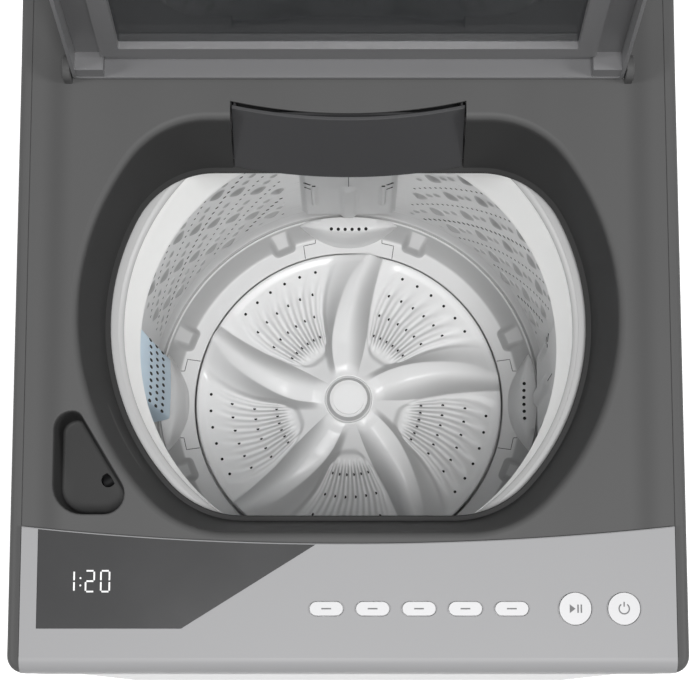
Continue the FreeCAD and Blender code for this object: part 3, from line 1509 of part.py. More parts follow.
def lint_filter():
    """Blue lint filter: a wedge shaped basket on the left wall with slots in its face."""
    outer = drum_radius - seat_gap
    foot_x = outer - filter_foot_depth
    head_x = outer - filter_top_depth
    low, high = filter_foot, filter_foot + filter_height

    def wedge(inset):
        half = filter_half_width - inset
        rear = outer + 5
        corners = [Vector(-foot_x - inset, -half, low + inset), Vector(-head_x - inset, -half, high - inset),
                   Vector(-rear, -half, high - inset), Vector(-rear, -half, low + inset)]
        face = Part.Face(Part.makePolygon(corners + corners[:1]))
        return face.extrude(Vector(0, 2 * half, 0))

    body = wedge(0).common(rod(outer, low - 1, high + 1))
    body = body.cut(wedge(filter_wall))
    slots = []
    step_z = (filter_height - 60) / (filter_slot_rows - 1)
    step_y = 2 * filter_half_width / (filter_slot_columns + 1)
    for row in range(filter_slot_rows):
        for column in range(filter_slot_columns):
            y = -filter_half_width + step_y * (column + 1)
            z = low + 30 + step_z * row
            slots.append(block(-outer + 6, -foot_x + 10, y - 5, y + 5, z - 2, z + 2))
    back = outer - 2
    slots = [s.common(block(-back, 0, -100, 100, 0, 2000)) for s in slots]
    return cut_all(body, slots)


def drum_flange():
    """Cast spider under the drum's base: hub, disc and four arms."""
    top = flange_top - seat_gap
    hub = pipe(30, spin_shaft_radius, top - 10, top)
    disc = pipe(70, spin_shaft_radius, top - 8, top)
    arms = []
    for i in range(4):
        arm = block(50, drum_radius - 6, -15, 15, top - 6, top)
        arms.append(spun(arm, 45 + 90 * i))
    return fused([hub, disc] + arms)


def spin_shaft():
    """Hollow shaft that turns the drum."""
    low = gearbox_bottom + 24
    return pipe(spin_shaft_radius, drive_shaft_radius + running_gap, low, flange_top + 6)


def drive_shaft():
    """Solid shaft from the gearbox to the pulsator."""
    low = gearbox_bottom + 20 + seat_gap
    return rod(drive_shaft_radius, low, pulsator_rim_height + pulsator_dome - 14)


def dish_height(radius):
    """Top face of the pulsator's disc: a shallow bowl that rises towards the hub."""
    share = min(radius / pulsator_radius, 1.0)
    return pulsator_rim_height + pulsator_dome * (1 - share) ** 2.2


def ridge_turn(radius):
    """Angle of a vane's ridge, in degrees: almost radial at the hub, trailing at the rim."""
    return vane_root - vane_sweep * (radius / pulsator_radius) ** 2.6


def vane(turn):
    """Curved vane: a steep flank on its leading side and a long gentle slope on the other."""
    wires = []
    steps = 6
    inner = hub_radius + 6
    outer = pulsator_radius - 5
    for i in range(steps + 1):
        share = i / steps
        radius = inner + (outer - inner) * share
        angle = math.radians(turn + ridge_turn(radius))
        flank = vane_flank * (1 - 0.25 * share)
        slope = vane_slope * (0.55 + 0.45 * math.sin(math.pi * min(share * 0.62, 0.5)))
        low = dish_height(radius) - 2.0
        high = dish_height(radius) + vane_height * math.sin(math.pi * (0.16 + 0.76 * share))
        corners = []
        for along, z in ((-flank, low), (-3.5, high), (4.0, high), (slope, low)):
            corners.append(Vector(radius * math.cos(angle) - along * math.sin(angle),
                                  radius * math.sin(angle) + along * math.cos(angle), z))
        wires.append(Part.makePolygon(corners + corners[:1]))
    body = loft(wires)
    return body.common(rod(pulsator_radius - 2, low - 40, high + 80))


def pulsator():
    """Pulsator disc with a raised hub, a skirt and curved vanes."""
    steps = 9
    radii = [hub_radius + (pulsator_radius - hub_radius) * i / steps for i in range(steps + 1)]
    upper = [(r, dish_height(r)) for r in radii]
    lower = [(r, z - pulsator_thick) for r, z in reversed(upper)]
    rim_low = pulsator_rim_height - pulsator_skirt
    hub_low = well_floor + 8
    seat = pulsator_rim_height + pulsator_dome - cap_depth
    lip = upper[0][1] + 3
    profile = [(drive_shaft_radius, hub_low), (drive_shaft_radius, seat), (hub_radius - 5, seat),
               (hub_radius - 5, lip), (hub_radius - 2, lip)] + upper
    profile += [(pulsator_radius, rim_low), (pulsator_radius - pulsator_thick, rim_low)]
    profile += [(pulsator_radius - pulsator_thick, lower[0][1] - 0.5)] + lower[1:-1]
    profile += [(hub_radius, lower[-1][1]), (hub_radius, hub_low)]
    dish = turned(profile)
    vanes = [vane(360.0 * i / vane_count) for i in range(vane_count)]
    bore = rod(hub_radius - 5, seat, lip + 60)
    return dish.fuse(vanes).cut(bore).removeSplitter()


def pulsator_cap():
    """Domed cap over the pulsator's screw."""
    low = pulsator_rim_height + pulsator_dome - cap_depth
    radius = hub_radius - 5 - seat_gap
    cap = turned([(0, low + 4), (radius - 3, low + 4), (radius - 3, low), (radius, low), (radius, low + 9),
                  (radius * 0.86, low + 11.4), (radius * 0.6, low + 13.2), (radius * 0.3, low + 14.2),
                  (0, low + 14.5)])
    return cap


pieces = {
    "cabinet_wrap": cabinet_wrap(),
    "rear_panel": rear_panel(),
    "base_frame": base_frame(),
    "top_cover": top_cover(),
    "fascia_panel": fascia_panel(),
    "display_window": display_window(),
    "display_board": display_board(),
    "control_box": control_box(),
    "button_board": button_board(),
    "bleach_spout": bleach_spout(),
    "lid_lock": lid_lock(),
    "dispenser_housing": dispenser_housing(),
    "inlet_valve": inlet_valve(),
    "inlet_hose": inlet_hose(),
    "cord_gland": cord_gland(),
    "pressure_sensor": pressure_sensor(),
    "drain_outlet": drain_outlet(),
    "panel_screws": panel_screws(),
    "corner_brackets": corner_brackets(),
    "suspension_rods": suspension_rods(),
    "lid_frame": lid_frame(),
    "lid_glass": lid_glass(),
    "lid_pins": lid_pins(),
    "lid_bumpers": lid_bumpers(),
    "detergent_drawer": detergent_drawer(),
    "drawer_front": drawer_front(),
    "softener_cap": softener_cap(),
    "outer_tub": outer_tub(),
    "tub_cover_ring": tub_cover_ring(),
    "drive_plate": drive_plate(),
    "gearbox_housing": gearbox_housing(),
    "spin_bearings": spin_bearings(),
    "motor": motor(),
    "drive_belt": drive_belt(),
    "drain_valve": drain_valve(),
    "drain_bellows": drain_bellows(),
    "suspension_springs": suspension_springs(),
    "motor_pulley": motor_pulley(),
    "drive_pulley": drive_pulley(),
    "balance_ring": balance_ring(),
    "drum_wall": drum_wall(),
    "drum_base": drum_base(),
    "channel_covers": channel_covers(),
    "lint_filter": lint_filter(),
    "drum_flange": drum_flange(),
    "spin_shaft": spin_shaft(),
    "drive_shaft": drive_shaft(),
    "pulsator": pulsator(),
    "pulsator_cap": pulsator_cap(),
}
pieces["base_covers"] = base_covers(pieces["drum_base"])
front_left, front_right, rear_left, rear_right = foot_places()
pieces["front_foot_left"] = foot(*front_left)
pieces["front_foot_right"] = foot(*front_right)
pieces["rear_feet"] = Part.makeCompound([foot(*rear_left), foot(*rear_right)])
for place in button_places():
    pieces[place[0]] = button(*place)

for name, shape in pieces.items():
    shape.exportStep("parts/%s.step" % name)
    box = shape.BoundBox
    print("%-20s solids %d valid %s  x %.1f..%.1f  y %.1f..%.1f  z %.1f..%.1f" % (
        name, len(shape.Solids), shape.isValid(), box.XMin, box.XMax, box.YMin, box.YMax,
        box.ZMin, box.ZMax))
print("nodes", len(pieces))
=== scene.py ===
import math

import bmesh
import bpy
import numpy as np
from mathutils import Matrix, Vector
from mathutils.geometry import delaunay_2d_cdt


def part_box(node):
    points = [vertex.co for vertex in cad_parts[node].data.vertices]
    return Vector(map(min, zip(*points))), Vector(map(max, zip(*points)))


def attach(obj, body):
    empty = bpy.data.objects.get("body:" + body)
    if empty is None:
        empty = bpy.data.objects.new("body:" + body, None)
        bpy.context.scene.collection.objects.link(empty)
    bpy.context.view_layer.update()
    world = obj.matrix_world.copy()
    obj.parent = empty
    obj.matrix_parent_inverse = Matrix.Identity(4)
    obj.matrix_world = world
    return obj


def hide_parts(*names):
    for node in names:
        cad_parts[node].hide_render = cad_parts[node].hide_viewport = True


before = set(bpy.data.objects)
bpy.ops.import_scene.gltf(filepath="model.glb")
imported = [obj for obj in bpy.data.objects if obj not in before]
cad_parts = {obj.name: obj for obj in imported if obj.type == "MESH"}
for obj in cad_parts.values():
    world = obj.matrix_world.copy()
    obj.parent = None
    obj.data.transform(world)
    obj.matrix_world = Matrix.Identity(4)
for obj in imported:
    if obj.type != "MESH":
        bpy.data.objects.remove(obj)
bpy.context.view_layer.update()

# Top load washing machine, dressed round its CAD frame.
# Lengths are millimetres until a mesh is made, +Z up, +Y to the rear, origin under the drum's axis.
mm = 0.001
scene = bpy.context.scene


def boxOf(node):
    # Lowest and highest corner of a CAD node.
    low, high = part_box(node)
    return np.array(low) / mm, np.array(high) / mm


def joined(*parts):
    # Coordinates side by side as points; a single value is repeated for all of them.
    return np.stack(np.broadcast_arrays(*parts), -1)


def atHeight(line, z):
    # Flat points given a height.
    return joined(line[..., 0], line[..., 1], z)


def polar(radius, turn, z):
    # Points at a radius, an angle in radians and a height about the drum's axis.
    return joined(radius * np.cos(turn), radius * np.sin(turn), z)


def spun(points, degrees):
    # Points turned about the drum's axis.
    x, y, z = np.moveaxis(points, -1, 0)
    c, s = math.cos(math.radians(degrees)), math.sin(math.radians(degrees))
    return joined(x * c - y * s, x * s + y * c, z)


def arc(centre, radius, start, end, count):
    # Points on a circle between two angles in degrees.
    turn = np.radians(np.linspace(start, end, count))
    return joined(centre[0] + radius * np.cos(turn), centre[1] + radius * np.sin(turn))


def rolled(count):
    # Steps of a quarter circle, as shares of its radius: the way still to go, and the drop so far.
    turn = np.radians(np.linspace(0, 90, count))
    return list(zip(1 - np.sin(turn), 1 - np.cos(turn)))


def crowded(count):
    # Shares from -1 to 1, closer together near both ends: the sine of even steps.
    return np.sin(np.linspace(-np.pi / 2, np.pi / 2, count))


def unit(vectors):
    # The same directions with a length of 1.
    return vectors / np.linalg.norm(vectors, axis=-1, keepdims=True)


def between(value, low, high):
    # Share of the way from low to high, kept from 0 to 1.
    return np.clip((value - low) / (high - low), 0, 1)


def softStep(value, low, high):
    # 0 below low, 1 above high, and a smooth rise between them.
    share = between(value, low, high)
    return share * share * (3 - 2 * share)


def surface(points, loopRows=False, loopCols=False, keep=None):
    # A grid of points as (points, four-sided faces); keep is a mask over its cells.
    rows, cols = points.shape[:2]
    index = np.arange(rows * cols).reshape(rows, cols)
    if loopRows:
        index = np.vstack([index, index[:1]])
    if loopCols:
        index = np.hstack([index, index[:, :1]])
    faces = np.stack([index[:-1, :-1], index[1:, :-1], index[1:, 1:], index[:-1, 1:]], -1)
    if keep is not None:
        faces = faces[keep]
    return points.reshape(-1, 3), faces.reshape(-1, 4).tolist()


def slab(front, back):
    # A closed body between two grids of one size, joined along their borders.
    borders = [np.vstack([g[0], g[1:, -1], g[-1, -2::-1], g[-2:0:-1, 0]]) for g in (front, back)]
    return [surface(front), surface(back), surface(np.array(borders), loopCols=True)]


def tube(sections):
    # Closed sections joined one to the next, each end closed by a fan from its middle.
    count, size = sections.shape[:2]
    points, faces = surface(sections, loopCols=True)
    ring = np.arange(size)
    ahead = np.roll(ring, -1)
    last, tip = (count - 1) * size, count * size
    fans = np.vstack([joined(ahead, ring, tip), joined(ring + last, ahead + last, tip + 1)])
    return np.vstack([points, sections[[0, -1]].mean(1)]), faces + fans.tolist()


def turned(profile, columns):
    # A closed profile of (radius, height) carried once round the drum's axis.
    turn = np.linspace(0, 2 * np.pi, columns, endpoint=False)
    return surface(polar(profile[:, :1], turn, profile[:, 1:]), True, True)


def plug(radius, height, sides, start=0):
    # A short closed prism about the origin, as triangles; its first corner is at start degrees.
    turn = np.linspace(0, 2 * np.pi, sides, endpoint=False) + math.radians(start)
    points = np.vstack([polar(radius, turn, -height), polar(radius, turn, height),
                        [[0, 0, -height], [0, 0, height]]])
    here = np.arange(sides)
    ahead = np.roll(here, -1)
    faces = np.vstack([joined(here, ahead, ahead + sides), joined(here, ahead + sides, here + sides),
                       joined(ahead, here, 2 * sides),
                       joined(here + sides, ahead + sides, 2 * sides + 1)])
    return points, faces


def copied(shape, offsets, axes=np.eye(3)):
    # One small closed shape put at many places; axes are its own three directions at each place.
    points, faces = shape
    placed = points @ axes + offsets[:, None]
    shift = np.arange(len(offsets))[:, None, None] * len(points)
    return placed.reshape(-1, 3), (faces + shift).reshape(-1, 3).tolist()


def roundedOutline(corners, grow):
    # Corners (x, y, radius) as arcs, with eight points on each straight between two of them; each
    # arc keeps its centre while the outline grows.
    runs = []
    for i, (x, y, radius) in enumerate(corners):
        here = np.array([x, y], float)
        back = unit(corners[i - 1][:2] - here)
        ahead = unit(corners[(i + 1) % len(corners)][:2] - here)
        half = math.acos(float(back @ ahead)) / 2
        centre = here + unit(back + ahead) * radius / math.sin(half)
        run = radius / math.tan(half)
        first, last = here + back * run - centre, here + ahead * run - centre
        start = math.degrees(math.atan2(first[1], first[0]))
        turn = (math.degrees(math.atan2(last[1], last[0])) - start + 180) % 360 - 180
        runs.append(arc(centre, radius + grow, start, start + turn, 9))
    share = np.linspace(0, 1, 10)[1:-1, None]
    straights = [run[-1] + (runs[(i + 1) % len(runs)][0] - run[-1]) * share
                 for i, run in enumerate(runs)]
    return np.vstack([part for pair in zip(runs, straights) for part in pair])


def inside(points, outline):
    # Which points lie inside a closed outline: an odd number of its edges is crossed on one side.
    x, y = points[:, 0][:, None], points[:, 1][:, None]
    here, ahead = outline, np.roll(outline, -1, 0)
    crosses = (here[:, 1] > y) != (ahead[:, 1] > y)
    rise = np.where(ahead[:, 1] == here[:, 1], 1e-9, ahead[:, 1] - here[:, 1])
    reach = here[:, 0] + (y - here[:, 1]) * (ahead[:, 0] - here[:, 0]) / rise
    return (crosses & (x < reach)).sum(1) % 2 == 1


def plate(outline, holes, z):
    # A flat sheet inside an outline, less its holes, as triangles.
    edges, start = [], 0
    for loop in (outline, *holes):
        edges += [(start + i, start + (i + 1) % len(loop)) for i in range(len(loop))]
        start += len(loop)
    flat = [tuple(p) for p in np.vstack([outline, *holes]).tolist()]
    verts, _, faces = delaunay_2d_cdt(flat, edges, [], 1, 1e-5)[:3]
    verts, faces = np.array([tuple(v) for v in verts]), np.array([list(f) for f in faces])
    middles = verts[faces].mean(1)
    kept = inside(middles, outline)
    for hole in holes:
        kept &= ~inside(middles, hole)
    return atHeight(verts, z), faces[kept].tolist()


def hoop(outer, hole, z):
    # Rows from an outline to a round hole (x, y, radius), each point going straight towards the
    # hole's middle.
    away = outer - hole[:2]
    distance = np.linalg.norm(away, axis=1)[:, None]
    inner = hole[:2] + away / distance * np.minimum(hole[2], 0.94 * distance)
    return atHeight(outer + (inner - outer) * np.linspace(0, 1, 4)[:, None, None], z)


def flattenPlates(mesh):
    # Level triangles are parts of a flat sheet and are shaded flat.
    count = len(mesh.polygons)
    normals, sides = np.empty(count * 3), np.empty(count, np.int32)
    mesh.polygons.foreach_get("normal", normals)
    mesh.polygons.foreach_get("loop_total", sides)
    mesh.polygons.foreach_set("use_smooth", (abs(normals[2::3]) < 0.99999) | (sides > 3))


def sharpenRims(mesh):
    # An edge with one face is the rim of a sheet, and stays crisp when the sheet gets its thickness.
    ends = np.empty(len(mesh.loops), np.int32)
    mesh.loops.foreach_get("edge_index", ends)
    uses = np.bincount(ends, minlength=len(mesh.edges))
    sharp = mesh.attributes.get("sharp_edge") or mesh.attributes.new("sharp_edge", "BOOLEAN", "EDGE")
    marks = np.empty(len(mesh.edges), bool)
    sharp.data.foreach_get("value", marks)
    sharp.data.foreach_set("value", marks | (uses == 1))


def piece(name, parts, body, finish, replaced=(), sharp=38, shell=0.0, bevel=0.0,
          upward=False, even=False):
    # Joins grids of points into one mesh in metres, closes its seams and turns its faces outwards.
    points, faces, start = [], [], 0
    for part, cells in parts:
        points.append(part)
        faces += [[i + start for i in cell] for cell in cells]
        start += len(part)
    mesh = bpy.data.meshes.new(name)
    mesh.from_pydata((np.vstack(points) * mm).tolist(), [], faces)
    work = bmesh.new()
    work.from_mesh(mesh)
    bmesh.ops.remove_doubles(work, verts=work.verts, dist=2e-5)
    bmesh.ops.dissolve_degenerate(work, edges=work.edges, dist=1e-6)
    bmesh.ops.recalc_face_normals(work, faces=work.faces)
    if upward and sum(f.normal.z * f.calc_area() for f in work.faces) < 0:
        bmesh.ops.reverse_faces(work, faces=work.faces)
    work.to_mesh(mesh)
    work.free()
    mesh.shade_smooth()
    mesh.set_sharp_from_angle(angle=math.radians(sharp))
    flattenPlates(mesh)
    made = bpy.data.objects.new(name, mesh)
    scene.collection.objects.link(made)
    if shell:
        sharpenRims(mesh)
        wall = made.modifiers.new("wall", "SOLIDIFY")
        wall.thickness = shell * mm
        wall.offset = -1
    if bevel:
        edge = made.modifiers.new("edge", "BEVEL")
        edge.width = bevel * mm
        edge.segments = 2
        edge.limit_method = "ANGLE"
        edge.angle_limit = math.radians(40)
    if even:
        # Flat faces keep their own direction beside a rolled edge.
        made.modifiers.new("even", "WEIGHTED_NORMAL").keep_sharp = True
    mesh.materials.append(finishes[finish])
    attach(made, body)
    if replaced:
        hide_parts(*replaced)


def linear(*shades):
    # Screen shades from 0 to 1 as the linear colour that a shader takes.
    values = [s / 12.92 if s <= 0.04045 else ((s + 0.055) / 1.055) ** 2.4 for s in shades]
    if len(values) == 1:
        values *= 3
    return (*values, 1.0)


def tinted(colour, factor):
    # A colour times a factor, kept below white.
    return (*[min(c * factor, 1.0) for c in colour[:3]], 1.0)


class Wire:
    # An output in a graph of nodes: arithmetic on it adds Math nodes.
    def __init__(self, graph, socket):
        self.graph = graph
        self.socket = socket

    def maths(self, operation, *others):
        return self.graph.node("ShaderNodeMath", {"operation": operation},
                               dict(enumerate((self, *others))))

    def __add__(self, other):
        return self.maths("ADD", other)

    def __sub__(self, other):
        return self.maths("SUBTRACT", other)

    def __rsub__(self, other):
        return self.graph.node("ShaderNodeMath", {"operation": "SUBTRACT"}, {0: other, 1: self})

    def __mul__(self, other):
        return self.maths("MULTIPLY", other)

    __radd__ = __add__
    __rmul__ = __mul__


class Graph:
    # The nodes of one material or of the world.
    def __init__(self, tree):
        self.tree = tree

    def feed(self, socket, value):
        # Links an input to a wire, or gives it a plain value.
        if isinstance(value, Wire):
            self.tree.links.new(value.socket, socket)
        else:
            socket.default_value = value

    def node(self, kind, settings=(), sockets=(), output=0):
        made = self.tree.nodes.new(kind)
        for name, value in dict(settings).items():
            setattr(made, name, value)
        for name, value in dict(sockets).items():
            self.feed(made.inputs[name], value)
        return Wire(self, made.outputs[output])

    def seen(self):
        # 1 for what the camera sees directly, in a mirror or through glass, and 0 for plain light.
        rays = self.tree.nodes.new("ShaderNodeLightPath").outputs
        camera, glossy, through = (Wire(self, rays["Is %s Ray" % kind])
                                   for kind in ("Camera", "Glossy", "Transmission"))
        return camera.maths("MAXIMUM", glossy).maths("MAXIMUM", through)


class Finish(Graph):
    # One material, with its Principled shader and the pattern's place on the piece.
    def __init__(self, name):
        self.material = bpy.data.materials.new(name)
        self.material.use_nodes = True
        super().__init__(self.material.node_tree)
        self.shader = self.tree.nodes["Principled BSDF"]
        self.place = self.node("ShaderNodeTexCoord", output="Object")

    def set(self, **sockets):
        for name, value in sockets.items():
            self.feed(self.shader.inputs[name.replace("_", " ")], value)

    def axes(self):
        split = self.tree.nodes.new("ShaderNodeSeparateXYZ")
        self.feed(split.inputs[0], self.place)
        return [Wire(self, s) for s in split.outputs]

    def stretched(self, scale):
        return self.node("ShaderNodeMapping", {}, {"Vector": self.place, "Scale": scale})

    def noise(self, scale, detail=2.0, place=None):
        return self.node("ShaderNodeTexNoise", {}, {"Vector": place or self.place, "Scale": scale,
                                                    "Detail": detail}, "Fac")

    def spread(self, value, low, high, start=0.0, end=1.0):
        # Smooth change from start to end while value goes from low to high.
        return self.node("ShaderNodeMapRange", {"interpolation_type": "SMOOTHSTEP"},
                         {"Value": value, "From Min": low, "From Max": high, "To Min": start,
                          "To Max": end})

    def mix(self, factor, first, second):
        return self.node("ShaderNodeMix", {"data_type": "RGBA"}, {0: factor, 6: first, 7: second}, 2)

    def shaded(self, factor, colour, low, high):
        # A colour whose tone goes between two factors of itself.
        return self.mix(factor, tinted(colour, low), tinted(colour, high))

    def bump(self, height, distance, strength=0.6):
        return self.node("ShaderNodeBump", {}, {"Height": height, "Distance": distance,
                                                "Strength": strength})


def mouldedPlastic(name, colour, rough, mottle, grain, gloss=0.5, steep=0.0, slopes=None,
                   below=9.0):
    # Moulded plastic: a slow drift of tone and a fine sparked grain. Flanks steeper than the
    # slopes say, lower than below in metres, may take painted shade: a darker tone that stands in
    # for the shade on steep faces.
    finish = Finish(name)
    drift = finish.noise(7.0, 3.0)
    body = finish.shaded(drift, colour, 1 - mottle, 1 + mottle)
    if steep:
        # Painted shade: steep flanks below the given height are mixed towards a dark grey.
        facing = finish.node("ShaderNodeTexCoord", output="Normal")
        level = finish.node("ShaderNodeSeparateXYZ", {}, {0: facing}, 2)
        paintedFlankShade = finish.spread(level, slopes[0], slopes[1], steep, 0.0)
        paintedFlankShade = paintedFlankShade * finish.spread(finish.axes()[2], below, below + 0.001, 1.0, 0.0)
        body = finish.mix(paintedFlankShade, body, linear(0.2))
    finish.set(Base_Color=body, Roughness=rough - 0.06 + 0.12 * drift, Specular_IOR_Level=gloss,
               Normal=finish.bump(finish.noise(grain), 0.00003))
    return finish.material


def paintedSteel(name, colour, rough=0.34):
    # Sheet steel under baked paint: a faint orange peel and a clear upper layer.
    finish = Finish(name)
    peel = finish.noise(260.0, 1.0)
    finish.set(Base_Color=finish.shaded(finish.noise(3.0), colour, 0.97, 1.03),
               Roughness=rough - 0.03 + 0.06 * peel, Coat_Weight=0.25, Coat_Roughness=0.12,
               Normal=finish.bump(peel, 0.00004, 0.5))
    return finish.material


def zincSteel(name, colour):
    # Zinc coated steel: crystals of slightly different tone and gloss.
    finish = Finish(name)
    cells = finish.node("ShaderNodeTexVoronoi", {"feature": "F1"},
                        {"Vector": finish.place, "Scale": 55.0}, "Color")
    shade = finish.node("ShaderNodeSeparateColor", {}, {"Color": cells}, 0)
    finish.set(Base_Color=finish.shaded(shade, colour, 0.86, 1.1), Metallic=0.85,
               Roughness=0.36 + 0.16 * shade)
    return finish.material


def brushedSteel(name, colour, lineScale, metal, pressed=0.0, within=0.0):
    # Steel with fine level lines; drops pressed within a radius in metres may take painted shade,
    # a darker tone that stands in for the shade in the drops.
    finish = Finish(name)
    lines = finish.noise(30.0, 3.0, finish.stretched((1.0, 1.0, lineScale)))
    body = finish.shaded(lines, colour, 0.88, 1.08)
    if pressed:
        # Painted shade: the deeper inside the radius a drop is pressed, the darker it is mixed.
        x, y = finish.axes()[:2]
        reach = (x * x + y * y).maths("SQRT")
        paintedDropShade = finish.spread(reach, within - 0.0011, within - 0.0002, pressed, 0.0)
        body = finish.mix(paintedDropShade, body, linear(0.3))
    finish.set(Base_Color=body, Metallic=metal, Roughness=0.24 + 0.14 * lines,
               Normal=finish.bump(lines, 0.00002, 0.4))
    return finish.material


def castMetal(name, colour):
    # Sand cast alloy: a coarse skin with darker pits.
    finish = Finish(name)
    skin = finish.noise(240.0, 4.0)
    pits = finish.spread(skin, 0.35, 0.6)
    finish.set(Base_Color=finish.shaded(pits, colour, 0.7, 1.0), Metallic=0.8,
               Roughness=0.58 - 0.12 * pits, Normal=finish.bump(skin, 0.0003))
    return finish.material


def softRubber(name, colour):
    # Matt rubber with a fine tooth and dusty high spots.
    finish = Finish(name)
    tooth = finish.noise(420.0, 3.0)
    dust = finish.spread(finish.noise(22.0, 4.0), 0.5, 0.8)
    finish.set(Base_Color=finish.shaded(dust * 0.35, colour, 1.0, 1.8),
               Roughness=0.72 + 0.1 * tooth, Normal=finish.bump(tooth, 0.00008))
    return finish.material


def circuitBoard(name):
    # Green lacquer over copper: broad tracks in two directions under the lacquer, and light specks.
    finish = Finish(name)
    tracks = finish.node("ShaderNodeTexBrick", {"offset": 0.35},
                         {"Vector": finish.place, "Scale": 90.0, "Mortar Size": 0.06,
                          "Color1": linear(0.03, 0.25, 0.12), "Color2": linear(0.03, 0.29, 0.14),
                          "Mortar": linear(0.2, 0.43, 0.2)}, "Color")
    specks = finish.noise(160.0)
    finish.set(Base_Color=finish.mix(finish.spread(specks, 0.62, 0.68), tracks,
                                     linear(0.7, 0.66, 0.52)),
               Roughness=0.35 + 0.1 * specks)
    return finish.material


def tintedGlass(name, colour, alpha, rough=0.05, coat=0.6):
    # Tinted pane with a trace of handling marks.
    finish = Finish(name)
    smear = finish.noise(14.0, 4.0)
    finish.set(Base_Color=finish.shaded(smear, colour, 0.9, 1.15), Roughness=rough + 0.05 * smear,
               Coat_Weight=coat, Coat_Roughness=0.04, Alpha=alpha)
    return finish.material


# Tones of the deck, with its painted shade band beside each side trim and the painted shade
# below the rolled edges; pairs are the places where a zone begins and ends, in millimetres.
deckLook = {
    "colour": linear(0.295), "low": 0.72, "high": 1.12, "band": 247.0, "bandWidth": 15.0,
    "stretch": (11.0, 0.5, 4.0), "rough": 0.5, "gloss": 0.12, "paintedShade": linear(0.18),
    "paintedShadeTop": (936.0, 945.0), "within": (256.0, 262.0), "rear": (270.0, 280.0),
    "front": (-260.0, -200.0), "cupFloor": 905.0, "cupDepth": (0.4, 3.0),
    "cupX": (-180.0, -170.0), "cupY": (-80.0, -70.0), "cupPale": 0.55}


def deckPlastic(name, look):
    # Dark satin moulding: long soft bands of tone that drift at random, a painted shade band beside
    # each side trim, a sparked grain, and painted shade below the rolled edges of the opening and the
    # cup, taken partly off on the cup's floor.
    finish = Finish(name)
    x, y, z = finish.axes()

    def zone(value, limits, start=1.0, end=0.0):
        return finish.spread(value, limits[0] * mm, limits[1] * mm, start, end)

    side = x.maths("ABSOLUTE")
    # Painted shade band along each side of the deck, at the band's distance from the middle.
    paintedBand = zone((side - look["band"] * mm).maths("ABSOLUTE"), (0.0, look["bandWidth"]))
    long = finish.noise(1.0, 2.0, finish.stretched(look["stretch"]))
    body = finish.shaded(long * 0.5 + (1 - paintedBand) * 0.5, look["colour"], look["low"], look["high"])
    # Painted shade below the rolled edges of the opening and the cup, within the side trims and
    # between the front and rear zones; the cup's floor keeps part of its tone.
    around = zone(y, look["rear"]) * zone(y, look["front"], 0.0, 1.0)
    cupFloor = zone((z - look["cupFloor"] * mm).maths("ABSOLUTE"), look["cupDepth"])
    cupFloor = cupFloor * zone(x, look["cupX"]) * zone(y, look["cupY"])
    paintedShade = zone(z, look["paintedShadeTop"]) * zone(side, look["within"]) * around
    finish.set(Base_Color=finish.mix(paintedShade * (1 - cupFloor * look["cupPale"]), body, look["paintedShade"]),
               Roughness=look["rough"] - 0.03 + 0.06 * long, Specular_IOR_Level=look["gloss"],
               Normal=finish.bump(finish.noise(900.0), 0.00002, 0.5))
    return finish.material


# Moulded plastics: name, shades, roughness, mottle, scale of the grain, and what else is special.
plastics = {
    "silver": ("silverPanel", (0.54, 0.54, 0.545), 0.42, 0.02, 1200.0, {"gloss": 0.25}),
    "drawer": ("drawerFacePlastic", (0.22, 0.22, 0.225), 0.42, 0.04, 900.0, {"gloss": 0.2}),
    "lidPlastic": ("lidPlastic", (0.4, 0.4, 0.405), 0.38, 0.04, 900.0, {}),
    "black": ("blackPlastic", (0.1, 0.1, 0.105), 0.5, 0.08, 600.0, {}),
    # Near black for holes and slots: painted shade put in place of openings.
    "hole": ("shadedHole", (0.03, 0.03, 0.03), 0.8, 0.1, 600.0, {}),
    "white": ("whitePlastic", (0.99, 0.99, 0.985), 0.4, 0.01, 800.0, {}),
    "tub": ("tubPlastic", (0.74, 0.745, 0.75), 0.45, 0.03, 500.0, {}),
    "tubRing": ("tubRingPlastic", (0.67, 0.67, 0.67), 0.4, 0.02, 700.0, {"gloss": 0.3}),
    "drum": ("drumPlastic", (0.86, 0.86, 0.86), 0.4, 0.015, 700.0, {"gloss": 0.3}),
    # The drum floor and the pulsator take painted shade on their steep flanks; the floor's stops below
    # its cove.
    "drumFloor": ("drumFloorPlastic", (0.86, 0.86, 0.86), 0.4, 0.015, 700.0,
                  {"gloss": 0.3, "steep": 0.45, "slopes": (0.93, 1.0), "below": 0.3768}),
    "pulsator": ("pulsatorPlastic", (0.91, 0.91, 0.91), 0.33, 0.012, 800.0,
                 {"gloss": 0.4, "steep": 0.42, "slopes": (0.4, 0.96)}),
    "filter": ("filterPlastic", (0.84, 0.93, 1.0), 0.4, 0.02, 700.0, {}),
    "button": ("buttonPlastic", (0.7, 0.7, 0.705), 0.32, 0.02, 1200.0, {}),
    "mark": ("printedMark", (0.88, 0.88, 0.88), 0.5, 0.02, 900.0, {}),
    "sign": ("buttonSign", (0.32, 0.32, 0.325), 0.5, 0.02, 900.0, {}),
}
finishes = {kind: mouldedPlastic(name, linear(*shades), rough, mottle, grain, **special)
            for kind, (name, shades, rough, mottle, grain, special) in plastics.items()}
